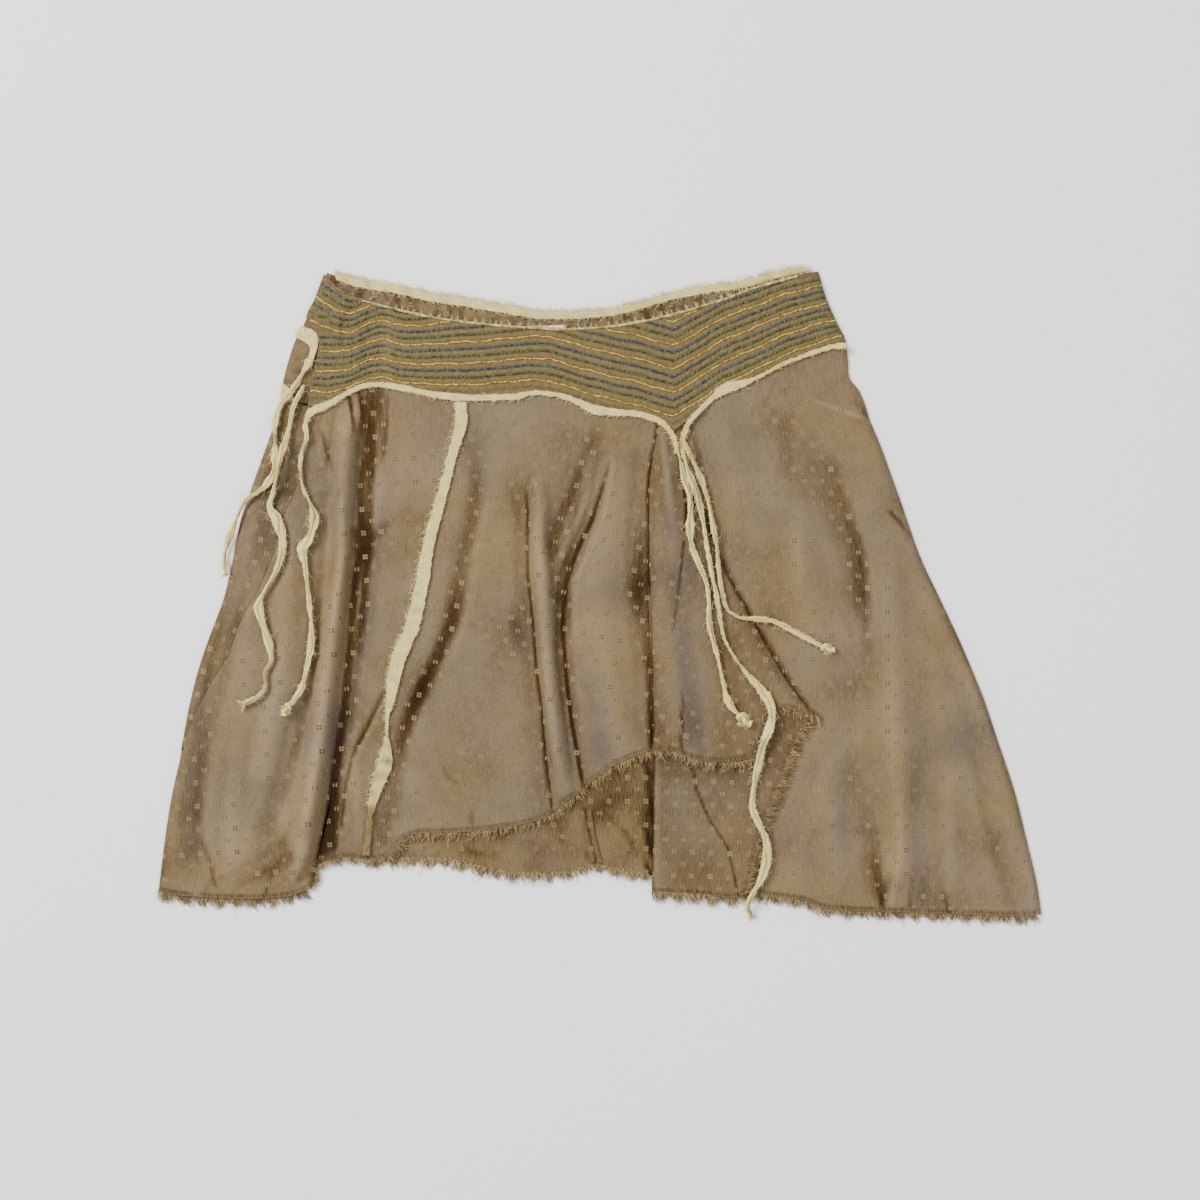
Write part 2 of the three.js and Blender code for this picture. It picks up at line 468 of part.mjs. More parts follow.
// ---- torn trims over the seams: x, y, width ----
add("trim_yoke_left", wallFromOutline(strip(fill([
  [-231, 154.5, 7], [-221, 156, 7], [-209, 161, 7], [-198, 167, 6], [-188, 170, 5], [-178, 172, 4.5],
  [-165, 171, 5], [-150, 168, 6], [-128, 164, 7], [-105, 162, 6], [-86, 162, 6], [-68, 162, 6],
  [-50, 165, 5], [-35, 163, 6], [-20, 158, 7], [-8, 152.5, 7], [6, 150, 6], [25, 149, 5], [40, 146, 5],
  [50, 141, 5], [57.5, 136.5, 4.5]], 34)), onFront, TORN), COLOUR.torn);
add("trim_yoke_right", wallFromOutline(strip(fill([
  [64, 138.5, 6], [72, 145.5, 5], [82, 153.5, 5], [92, 163, 9], [100, 168, 8], [114, 172, 6], [128, 179, 6],
  [142, 187, 5], [156, 192, 5], [172, 199, 5], [184, 203, 6]], 18)), onFront, TORN), COLOUR.torn);
add("trim_front_seam", wallFromOutline(strip(fill([
  [-111, 157, 9], [-112, 142, 10.5], [-119, 112, 8.5], [-129, 72, 9], [-137, 44, 10], [-143, 12, 10.5],
  [-150, -21, 12], [-162, -54, 11], [-167, -72, 8], [-170, -95, 2.6], [-171, -110, 2.6], [-173, -121, 11],
  [-178, -140, 12], [-183, -156, 9], [-185, -168, 4.5], [-186, -182, 6], [-186, -203, 9]], 26)),
onFront, TORN), COLOUR.torn);

// ---- frayed edges: the cloth's edge from left to right, pitch and lengths of the strands, lean, height ----
/** A comb of strands on a narrow backing strip that follows the edge of a cloth piece. */
function comb(name, edge, { pitch, long, lean, height }) {
  const edgeAt = edge.map((p) => new THREE.Vector2(p.x, p.y));
  const out = edgeAt.map((_, i) => {
    const run = edgeAt[Math.min(i + 1, edge.length - 1)].clone().sub(edgeAt[Math.max(i - 1, 0)]).normalize();
    return new THREE.Vector2(run.y, -run.x);
  });
  const at = (i, off) => edgeAt[i].clone().addScaledVector(out[i], off);
  const inner = edgeAt.map((_, i) => at(i, GAP));
  const outer = [];
  let count = 0;
  for (let i = 0; i + 1 < edge.length; i += 1) {
    const a = at(i, GAP + BACKING);
    const b = at(i + 1, GAP + BACKING);
    const run = b.clone().sub(a).normalize();
    const n = Math.max(1, Math.round(a.distanceTo(b) / pitch));
    for (let k = 0; k < n; k += 1) {
      const tip = a.clone().lerp(b, (k + 0.3) / n).addScaledVector(out[i], long[count % long.length]);
      tip.addScaledVector(run, lean * long[count % long.length] * (1 + 0.8 * Math.sin(2.3 * count)));
      outer.push(a.clone().lerp(b, k / n), tip, a.clone().lerp(b, (k + 0.55) / n));
      count += 1;
    }
    if (i + 2 === edge.length) outer.push(b);
  }
  const outline = [...inner.reverse(), ...outer].map((p) => [p.x, p.y]);
  add(name, wallFromOutline(outline, height, STRAND), COLOUR.fray);
}

const lastRow = (grid, from, to) => grid.at(-1).slice(from, to);
comb("fringe_hem_left", lastRow(leftGrid, 0, 6), { pitch: 6, long: [4, 6, 5, 8, 6, 7], lean: 0.1,
  height: lift.front });
comb("fringe_hem_pleat", lastRow(leftGrid, 9, 14), { pitch: 5, long: [3, 5, 4, 6], lean: 0.2, height: onBack });
comb("fringe_hem_centre", lastRow(centreGrid, 1, 14), { pitch: 6.5, long: [6, 8, 7, 9, 6, 7], lean: -0.2,
  height: onBack });
comb("fringe_hem_godet", lastRow(godetGrid, 0, 11), { pitch: 5.5, long: [6, 8, 7, 8], lean: 0.1, height: onFront });
comb("fringe_slit", underlayGrid.map((row) => row.at(-1)).reverse().slice(0, -1), { pitch: 5.5,
  long: [6, 8, 7, 9, 7], lean: 0.3, height: () => SEAM });
comb("fringe_hem_back", [[-186, -207.2], [-160, -207], [-122, -208], [-91, -215], [-68, -219], [-38, -219],
  [-20, -216], [-3, -212], [16, -216], [41, -221]].map(([x, y]) => ({ x, y })), { pitch: 6.5,
  long: [2.5, 5, 4, 6, 3.5], lean: 0, height: () => 0.2 });
comb("fringe_hem_underlay", lastRow(underlayGrid, 0, 8), { pitch: 6, long: [4, 6, 5, 7], lean: 0.1,
  height: lift.underlay });
comb("fringe_hem_right", lastRow(rightGrid, 1, 14), { pitch: 6.5, long: [4, 5, 6, 5, 7, 8], lean: 0.15,
  height: lift.right });

// ---- ties: places of the middle line from the knot at the waist to the free end, x, y ----
const TIES = {
  tie_side_outer: [[-231, 193], [-243, 172], [-254, 157], [-259, 143], [-259, 127], [-259, 114], [-260, 103],
    [-266, 92], [-273, 86], [-282, 80], [-287, 73], [-293, 58], [-299, 43], [-301, 34], [-299, 21]],
  tie_side_inner: [[-240, 164], [-244, 156], [-246, 148], [-248, 136], [-253, 117], [-257, 98], [-261, 84],
    [-263, 74], [-258, 65], [-253, 50], [-254, 34], [-259, 21], [-266, 10], [-272, -5], [-268, -21],
    [-263, -38], [-262, -48], [-267, -57], [-267, -70], [-273, -77], [-284, -83]],
  tie_side_front: [[-231, 147], [-235, 140], [-234, 130], [-238, 117], [-239, 105], [-237, 90], [-230, 75],
    [-228, 66], [-231, 50], [-237, 42], [-235, 28], [-233, 9], [-231, -10], [-230, -31], [-234, -55],
    [-238, -70], [-244, -80]],
  tie_centre_left: [[60, 127], [64, 112], [68, 96], [72, 80], [72, 60], [73, 44], [79, 29], [85, 14], [87, -1],
    [87, -16], [90, -31], [94, -46], [98, -65], [102, -80], [107, -88]],
  tie_centre_right: [[67, 127], [74, 112], [80, 98], [86, 80], [90, 60], [93, 44], [95, 22], [98, 4], [102, -8],
    [112, -14], [122, -15], [138, -17], [153, -24], [168, -32], [173, -35]],
  tie_centre_long: [[65, 119], [71, 100], [77, 84], [82, 64], [85, 44], [89, 22], [92, 7], [96, -16], [99, -30],
    [107, -45], [118, -60], [127, -70], [134, -80], [137, -90], [135, -102], [130, -115], [127, -129],
    [124, -142], [122, -156], [122, -167], [127, -179], [133, -193], [133, -207], [129, -222], [121, -236],
    [118, -244], [121, -253]],
};
const ROUND = new THREE.Shape(even(10).slice(0, -1).map((s) => new THREE.Vector2(
  TIE / 2 * Math.cos(2 * Math.PI * s), TIE / 2 * Math.sin(2 * Math.PI * s))));

for (const [name, places] of Object.entries(TIES)) {
  const below = Object.values(solids).filter((mesh) => !mesh.name.startsWith("binding"));
  const plan = curve(places);
  const steps = Math.round(plan.getLength() / 5);
  const plan3 = even(steps).map((s) => plan.getPointAt(s));
  const need = plan3.map((p) => clear(below, p.x, p.y, TIE / 2 + 1.2));
  const most = need.map((_, i) => Math.max(...need.slice(Math.max(0, i - 1), i + 2)));
  const soft = most.map((z, i) => Math.max(z, (z + (most[i - 1] ?? z) + (most[i + 1] ?? z)) / 3));
  const route = plan3.map((p, i) => new THREE.Vector3(p.x, p.y, soft[i] + TIE / 2 + 0.35));
  const path = new THREE.CatmullRomCurve3(route, false, "centripetal");
  const tube = new THREE.ExtrudeGeometry(ROUND, {
    steps: Math.round(path.getLength() / 11), extrudePath: path, bevelEnabled: false });
  add(name, tube, COLOUR.torn);
}

/** A knot: a squashed ball that lies on what is below it. */
function knot(name, x, y, wide, high) {
  const below = Object.values(solids).filter((mesh) => !mesh.name.startsWith("tie"));
  const ball = new THREE.SphereGeometry(1, 10, 6);
  ball.scale(wide / 2, wide / 2, high / 2);
  ball.translate(x, y, clear(below, x, y, wide / 2) + high / 2 + GAP);
  add(name, ball, COLOUR.torn);
}
knot("knot_side_front", -250, -86.5, 10, 6);
knot("knot_centre_left", 114.5, -94.5, 12, 7);
knot("knot_centre_right", 181, -38.5, 10, 6);

export default group;
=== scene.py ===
import functools
import math

import bpy
import numpy as np
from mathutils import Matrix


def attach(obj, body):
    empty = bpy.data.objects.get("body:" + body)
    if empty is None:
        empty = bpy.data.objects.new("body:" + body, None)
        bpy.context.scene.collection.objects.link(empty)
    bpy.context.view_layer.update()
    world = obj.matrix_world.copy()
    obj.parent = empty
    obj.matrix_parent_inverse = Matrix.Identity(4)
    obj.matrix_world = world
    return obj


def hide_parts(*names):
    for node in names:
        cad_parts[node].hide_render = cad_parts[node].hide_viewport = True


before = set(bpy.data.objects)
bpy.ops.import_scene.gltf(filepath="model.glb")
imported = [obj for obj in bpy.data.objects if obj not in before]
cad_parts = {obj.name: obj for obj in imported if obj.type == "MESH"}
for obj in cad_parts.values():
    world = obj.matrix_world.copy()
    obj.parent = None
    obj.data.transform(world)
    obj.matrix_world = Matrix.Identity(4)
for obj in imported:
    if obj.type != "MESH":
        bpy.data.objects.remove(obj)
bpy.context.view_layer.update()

bpy.ops.object.select_all(action="DESELECT")

# ---- Camera ----
# It looks straight down on the skirt, which is laid flat on its back. It takes in 0.96 m from side to side,
# so that the hem and the waist have some floor round them.
CAMERA_HEIGHT, LENS = 1.3375, 50  # m above the floor, and mm
bpy.ops.object.camera_add(location=(0, 0, CAMERA_HEIGHT), rotation=(0, 0, 0))
bpy.context.object.data.lens = LENS
bpy.context.scene.camera = bpy.context.object
bpy.ops.object.select_all(action="DESELECT")

# ---- Torn ties ----
# Six strips torn from thin cream voile that have rolled up on themselves. They are sewn in at the yoke's
# lower edge and lie loose on the skirt; three end in a knot and three are frayed out.
def places(text, scale=1):
    """Places from their numbers, with a comma between one place and the next, divided by a scale."""
    return [tuple(float(v) / scale for v in place.split()) for place in text.split(",")]


# each tie's length in m, its swellings as share and size, and its route in mm
TIES = {
    "side_outer": dict(length=0.196, seed=3, knot=None,
        swell=places(".04 1, .18 1, .3 1.3, .45 2, .6 -.4, .84 1.4"), route=places("""
    -231 193 5.9, -243 172 5.9, -254 157 7.1, -259 143 7.8, -259 127 8.7, -259 114 8.7, -260 103 8.7,
    -266 92 8.7, -273 86 8.7, -282 80 7.7, -287 73 6.7, -293 58 5.5, -299 43 3.2, -301 34 3,
    -299 21 4.8""", 1000)),
    "side_inner": dict(length=0.271, seed=5, knot=None,
        swell=places(".05 1.2, .2 .6, .42 2.1, .5 1.6, .6 -.4, .69 2.2, .78 1.8, .9 -.6, .985 .9"),
        route=places("""-236.5 172 5.8, -240 164 6.5, -244 156 7.9, -246 148 8, -248 136 8.5, -253 117 12.4,
    -257 98 12.8, -261 84 9, -263 74 9.1, -258 65 9.5, -253 50 9.9, -254 34 9.9, -259 21 9.8, -266 10 9,
    -272 -5 8.8, -268 -21 9.1, -263 -38 9.8, -262 -48 9.8, -267 -57 9.7, -267 -70 9.6, -273 -77 9.4,
    -284 -83 8.9""", 1000)),
    "side_front": dict(length=0.236, seed=8, knot="knot_side_front",
        swell=places(".06 1.2, .17 .5, .23 -.4, .36 1.8, .45 2.6, .6 -.4, .79 1.2, .93 .9"),
        route=places("""-231 147 8, -235 140 8.3, -234 130 8.6, -238 117 8.7, -239 105 8.7, -237 90 8.8,
    -230 75 8.8, -228 66 8.8, -231 50 9.1, -237 42 9.5, -235 28 9.5, -233 9 9.2, -231 -10 8.7, -230 -31 8.1,
    -234 -55 8.1, -238 -70 8.9, -244 -80 9.2, -247.5 -84 9""", 1000)),
    "centre_left": dict(length=0.222, seed=13, knot="knot_centre_left",
        swell=places(".15 1, .3 1.3, .42 .9, .55 -.2, .66 .8, .92 1"), route=places("""
    60 127 7.7, 64 112 7.7, 68 96 7.7, 72 80 7.7, 72 60 7.7, 73 44 7.7, 79 29 7.7, 85 14 7.7, 87 -1 7.7,
    87 -16 7.7, 90 -31 7.8, 94 -46 8.6, 98 -65 9.5, 102 -80 9.5, 107 -88 9.5, 111 -91.5 9.7""", 1000)),
    "centre_right": dict(length=0.219, seed=21, knot="knot_centre_right",
        swell=places(".12 1, .33 .9, .52 -.3, .72 .5, .95 .6"),
        route=places("""67 127 5.9, 74 112 5.9, 80 98 5.9, 86 80 6.2, 90 60 7.4, 93 44 7.7, 95 22 7.7,
    98 4 7.7, 102 -8 7.7, 112 -14 7.5, 122 -15 7.1, 138 -17 6.5, 153 -24 7.4, 168 -32 9.3, 173 -35 9.5,
    177.5 -36.8 9.2""", 1000)),
    "centre_long": dict(length=0.400, seed=34, knot=None,
        swell=places(".1 .6, .4 -.2, .53 1.9, .6 1.7, .68 1.6, .78 .8, .87 2.1, .95 .2"),
        route=places("""65 119 12.2, 71 100 12.2, 77 84 11.3, 82 64 8.1, 85 44 8, 89 22 9.2, 92 7 11,
    96 -16 8.2, 99 -30 7.9, 107 -45 8.5, 118 -60 9.4, 127 -70 9.5, 134 -80 9.5, 137 -90 9.5, 135 -102 9.5,
    130 -115 9.4, 127 -129 8.8, 124 -142 8.1, 122 -156 7.7, 122 -167 7.7, 127 -179 7.7, 133 -193 7.7,
    133 -207 7.2, 129 -222 7, 121 -236 6.9, 118 -244 6.2, 121 -253 2.6""", 1000)),
}


def smooth_line(through, count):
    """Points along the smooth line through some places, at even shares of its length or at those given."""
    p = np.asarray(through, float)
    p = np.vstack([2 * p[0] - p[1], p, 2 * p[-1] - p[-2]])
    s = np.linspace(0, 1, 24, endpoint=False)[:, None]
    runs = []
    for a, b, c, d in zip(p, p[1:], p[2:], p[3:]):
        ta, tb, tc = (max(np.linalg.norm(v), 1e-9) ** 0.5 for v in (b - a, c - b, d - c))
        m = ((b - a) / ta - (c - a) / (ta + tb) + (c - b) / tb) * tb
        n = ((c - b) / tb - (d - b) / (tb + tc) + (d - c) / tc) * tb
        runs.append((2 * s**3 - 3 * s**2 + 1) * b + (s**3 - 2 * s**2 + s) * m + (3 * s**2 - 2 * s**3) * c
            + (s**3 - s**2) * n)
    run = np.vstack([*runs, p[-2]])
    at = np.r_[0, np.cumsum(np.linalg.norm(np.diff(run, axis=0), axis=1))]
    share = np.linspace(0, 1, count) if np.ndim(count) == 0 else np.asarray(count, float)
    return np.stack([np.interp(share * at[-1], at, run[:, k]) for k in range(run.shape[1])], axis=1)


def hex_colour(code):
    """An sRGB hex value as the linear colour that a shader takes."""
    parts = [int(code[k:k + 2], 16) / 255 for k in (1, 3, 5)]
    return [*(c / 12.92 if c <= 0.04045 else ((c + 0.055) / 1.055) ** 2.4 for c in parts), 1.0]


def add_node(tree, kind, *values, stops=(), to=None, **more):
    """A node of that kind. Values fill its live sockets in order and names with a capital fill one socket
    each; a value may be a number, a hex colour, a socket or a node. The other names are settings. Stops are
    a ramp's places and colours, its two ends first, and to is the socket that the node feeds."""
    node = tree.nodes.new("ShaderNode" + kind)
    for name in [n for n in more if n.islower()]:
        setattr(node, name, more.pop(name))
    live = [socket for socket in node.inputs if socket.enabled]
    named = [(node.inputs[name.replace("_", " ")], value) for name, value in more.items()]
    for socket, value in [*zip(live, values), *named]:
        if isinstance(value, bpy.types.Node):
            value = next(out for out in value.outputs if out.enabled)
        if isinstance(value, bpy.types.NodeSocket):
            tree.links.new(value, socket)
        else:
            socket.default_value = hex_colour(value) if isinstance(value, str) else value
    for k, (at, code) in enumerate(stops):
        stop = node.color_ramp.elements[k] if k < 2 else node.color_ramp.elements.new(at)
        stop.position = at
        stop.color = hex_colour(code)
    if to is not None:
        tree.links.new(node.outputs[0], to)
    return node


def new_material(name):
    """An empty material: itself, its own way to add a node, and its surface's socket."""
    material = bpy.data.materials.new(name)
    material.use_nodes = True
    material.node_tree.nodes.clear()
    add = functools.partial(add_node, material.node_tree)
    return material, add, add("OutputMaterial").inputs["Surface"]


def point_values(mesh, name, values):
    """A number for each point of a mesh, which its material reads by name."""
    mesh.attributes.new(name, "FLOAT", "POINT").data.foreach_set("value",
        np.asarray(values, np.float32).ravel())


def grain_map(mesh, uv):
    """Each point's place on the cloth's grain, in metres, as the mesh's UV map."""
    corner = np.empty(len(mesh.loops), np.int32)
    mesh.loops.foreach_get("vertex_index", corner)
    mesh.uv_layers.new(name="grain").data.foreach_set("uv", np.asarray(uv, np.float32)[corner].ravel())


def cloth_piece(name, points, faces, material, uv, shade, angle=50):
    """A mesh on the skirt's body, in metres, with its grain as UV map and a shade for each point."""
    mesh = bpy.data.meshes.new(name)
    mesh.from_pydata(np.asarray(points).tolist(), [], [list(map(int, f)) for f in faces])
    piece = bpy.data.objects.new(name, mesh)
    bpy.context.collection.objects.link(piece)
    if uv is not None:
        grain_map(mesh, uv)
    point_values(mesh, "shade", shade)
    mesh.materials.append(material)
    bpy.ops.object.select_all(action="DESELECT")
    bpy.context.view_layer.objects.active = piece
    piece.select_set(True)
    bpy.ops.object.shade_smooth_by_angle(angle=math.radians(angle))
    piece.select_set(False)
    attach(piece, "root")
    return piece


def rings_to_faces(rings, sides, first=0):
    """Quads round a run of rings, and a face at each end."""
    faces = []
    for i in range(rings - 1):
        for c in range(sides):
            a, b = first + i * sides + c, first + i * sides + (c + 1) % sides
            faces.append((a, b, b + sides, a + sides))
    faces.append(tuple(first + c for c in reversed(range(sides))))
    faces.append(tuple(first + (rings - 1) * sides + c for c in range(sides)))
    return faces


def unit(vectors):
    """The same directions, each made one long."""
    return vectors / (np.linalg.norm(vectors, axis=-1, keepdims=True) + 1e-12)


def threads(name, paths, radius, material, seed, tip=0.4, darkest=-1.0):
    """Many loose threads as one mesh: paths holds each thread's points; three-sided, drawn in to a tip."""
    paths = np.asarray(paths, float)
    count, k = paths.shape[:2]
    run = unit(np.gradient(paths, axis=1))
    side = unit(np.cross(run, [0.06, 0.04, 1.0]))
    other = np.cross(run, side)
    thick = (radius * np.linspace(1, tip, k))[None, :, None]
    ring = np.stack([paths + thick * (side * math.cos(t) + other * math.sin(t))
        for t in (0, 2 * math.pi / 3, 4 * math.pi / 3)], axis=2)
    points = ring.reshape(-1, 3)
    points[:, 2] = np.maximum(points[:, 2], 0.0002)
    faces = [f for i in range(count) for f in rings_to_faces(k, 3, i * k * 3)]
    shade = np.repeat(np.random.default_rng(seed).uniform(darkest, 1, count), k * 3)
    along = np.tile(np.repeat(np.arange(k), 3), count) * 0.001
    uv = np.stack([np.tile([0, 0.0004, 0.0008], count * k), along], 1)
    return cloth_piece(name, points, faces, material, uv, shade, 80)


# Voile torn along its weave: fine matt threads with a faint sheen, with yellowed places, and grey painted
# shade in the rolls.
torn_voile, add, surface = new_material("torn cotton silk voile")
grain = add("UVMap", uv_map="grain")
place = add("TexCoord").outputs["Object"]
tone = add("Attribute", attribute_name="shade").outputs["Fac"]
# threads 0.4 mm apart in the real cloth, drawn 0.9 mm apart so that they show, and long along the strip
stretched = add("Mapping", Vector=grain, Scale=(1100, 160, 1))
fibre = add("TexNoise", Vector=stretched, Scale=1.0, Detail=3.0)
yellowed = add("TexNoise", Vector=place, Scale=24.0, Detail=2.0)
yellowed = add("MapRange", yellowed, 0.56, 0.74)
tone = add("MapRange", tone, -1.0, 1.0)
colour = add("ValToRGB", Fac=tone, stops=((0, "#5E5133"), (1, "#E8D796"), (0.5, "#CFBD7E")))
fibred = add("MapRange", fibre, 0.25, 0.62, 0.35)
colour = add("Mix", fibred, "#9A8850", colour, data_type="RGBA")
colour = add("Mix", yellowed, colour, "#C0A95A", data_type="RGBA")
relief = add("Bump", Strength=0.5, Distance=0.0006, Height=fibre)
add("BsdfPrincipled", Base_Color=colour, Roughness=0.82, Specular_IOR_Level=0.2, Normal=relief, to=surface)


def uneven(rng, along, step):
    """Random values a step apart, joined smoothly."""
    values = rng.normal(0, 1, int(along[-1] / step) + 4)
    at = along / step
    i = at.astype(int)
    t = at - i
    t = t * t * (3 - 2 * t)
    return values[i] * (1 - t) + values[i + 1] * t


VOILE_THREAD = 0.00017  # m: radius of a loose thread of the voile
RING_GAP, NOTCH = 0.0010, 0.0014  # m: from one ring of a tie to the next, and between notches of its edge
HALF_WIDTH, NARROWEST, WIDEST = 0.0017, 0.0011, 0.0043  # m: half a tie's usual width and its limits
SWELLING, SWELLING_REACH = 0.00112, 0.038  # m that a swelling of 1 adds, and its reach as a share of the tie
for key, tie in TIES.items():
    rng = np.random.default_rng(tie["seed"])
    steps = int(tie["length"] / RING_GAP)
    path = smooth_line(tie["route"], steps)
    length = np.linalg.norm(np.diff(path, axis=0), axis=1).sum()
    along = np.linspace(0, length, steps)
    wide = HALF_WIDTH + 0.00040 * uneven(rng, along, 0.012) + 0.0002 * uneven(rng, along, 0.004)
    for share, more in tie["swell"]:
        wide += SWELLING * more * np.exp(-((along / length - share) / SWELLING_REACH) ** 2)
    wide = np.clip(wide, NARROWEST, WIDEST)
    high = 0.0015 - 0.16 * (wide - 0.0012)
    high = high + 0.00015 * uneven(rng, along, 0.006) + 0.00008 * uneven(rng, along, 0.002)
    ends = np.minimum(1, 0.45 + np.minimum(along, length - along) / 0.004)
    run = unit(np.gradient(path, axis=0))
    side = unit(np.cross(run, [0, 0, 1.0]))
    up = np.cross(run, side)
    turn = np.linspace(0, 2 * math.pi, 20, endpoint=False)[None, :]
    # two furrows wander over the top, where the strip's edges have rolled in, and one edge stands proud
    furrow = -math.pi / 2 + 0.55 * uneven(rng, along, 0.016)[:, None]
    other = furrow + np.where(rng.uniform() > 0.5, 1, -1) * (0.95 + 0.35 * uneven(rng, along, 0.02)[:, None])
    off, off_other = (np.abs((turn - f + math.pi) % (2 * math.pi) - math.pi) for f in (furrow, other))
    proud = np.exp(-(((turn - furrow + math.pi) % (2 * math.pi) - math.pi - 0.5) / 0.26) ** 2)
    cut = 1 - 0.36 * np.exp(-(off / 0.24) ** 2) - 0.20 * np.exp(-(off_other / 0.20) ** 2) + 0.14 * proud
    torn, torn_other = (uneven(rng, along, NOTCH)[:, None] for _ in (0, 1))
    ragged = np.where(np.cos(turn) > 0, torn, torn_other)
    roll = (0.30 * uneven(rng, along, 0.02))[:, None]
    u = cut * np.clip((wide[:, None] + 0.00022 * ragged) * ends[:, None], 0.0006, 0.0046) * np.cos(turn)
    v = cut * (high * ends)[:, None] * np.sin(turn)
    u, v = u * np.cos(roll) - v * np.sin(roll), u * np.sin(roll) + v * np.cos(roll)
    rings = path[:, None, :] + side[:, None, :] * u[..., None] + up[:, None, :] * v[..., None]
    uv = np.stack(np.broadcast_arrays(turn * 0.0022, along[:, None]), axis=2).reshape(-1, 2)
    # painted shade in the two furrows and a painted highlight on the proud edge, over a tone that varies at
    # random
    shade = (0.40 + 0.30 * uneven(rng, along, 0.012)[:, None] - 1.5 * np.exp(-(off / 0.22) ** 2)
        - 0.9 * np.exp(-(off_other / 0.18) ** 2) + 0.3 * proud)
    tie["piece"] = cloth_piece("torn_tie_" + key, rings.reshape(-1, 3), rings_to_faces(steps, 20),
        torn_voile, uv, np.clip(shade, -1, 1), 75)
    tie["path"] = path
    # loose threads along the torn edges, most where the strip is wide, and a brush of them at a bare end
    fluff = []
    likely = 0.4 + np.maximum(0, wide - 0.0019) * 1600
    for k in range(int(length / 0.0011)):
        i = min(rng.choice(steps, p=likely / likely.sum()), steps - 2)
        out = side[i] * rng.choice([-1, 1])
        start = path[i] + out * wide[i] * rng.uniform(0.5, 0.9)
        start = start + np.array([0, 0, high[i] * rng.uniform(-0.3, 0.7)])
        reach = rng.gamma(2.0, 0.0008)
        lean = run[i] * rng.uniform(-1.6, 1.6) * reach
        curl = run[i] * rng.normal(0, 0.5) * reach
        middle = start + out * reach * 0.5 + lean * 0.3 + curl
        later = start + out * reach * 0.9 + lean * 0.7 + curl * 0.6 - [0, 0, 0.0006]
        fluff.append([start, middle, later, start + out * reach + lean - [0, 0, 0.0016]])
    for k in range(60 if not tie["knot"] else 0):
        swing = rng.uniform(-0.8, 0.8)
        start = path[-2] + side[-1] * swing * 0.0014 + up[-1] * rng.uniform(-0.0008, 0.0008)
        way = run[-1] + side[-1] * (swing + rng.normal(0, 0.2))
        reach = rng.uniform(0.002, 0.0055)
        fluff.append([start + way * reach * s - np.array([0, 0, 0.0010]) * s * s for s in (0, 0.33, 0.67, 1)])
    tie["fluff"] = threads("tie_threads_" + key, fluff, VOILE_THREAD, torn_voile, tie["seed"],
        darkest=0.0)
    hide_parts("tie_" + key)

# ---- Knots at the ties' ends ----
# The tie's own voile pulled into one overhand knot, with its torn end standing out a little. It lies loose
# where its tie ends.

# each knot's centre and its width; m
KNOTS = {"side_front": ((-0.2495, -0.0862, 0.0088), 0.0114),
    "centre_left": ((0.1138, -0.0940, 0.0100), 0.0142),
    "centre_right": ((0.1803, -0.0381, 0.0090), 0.0116)}
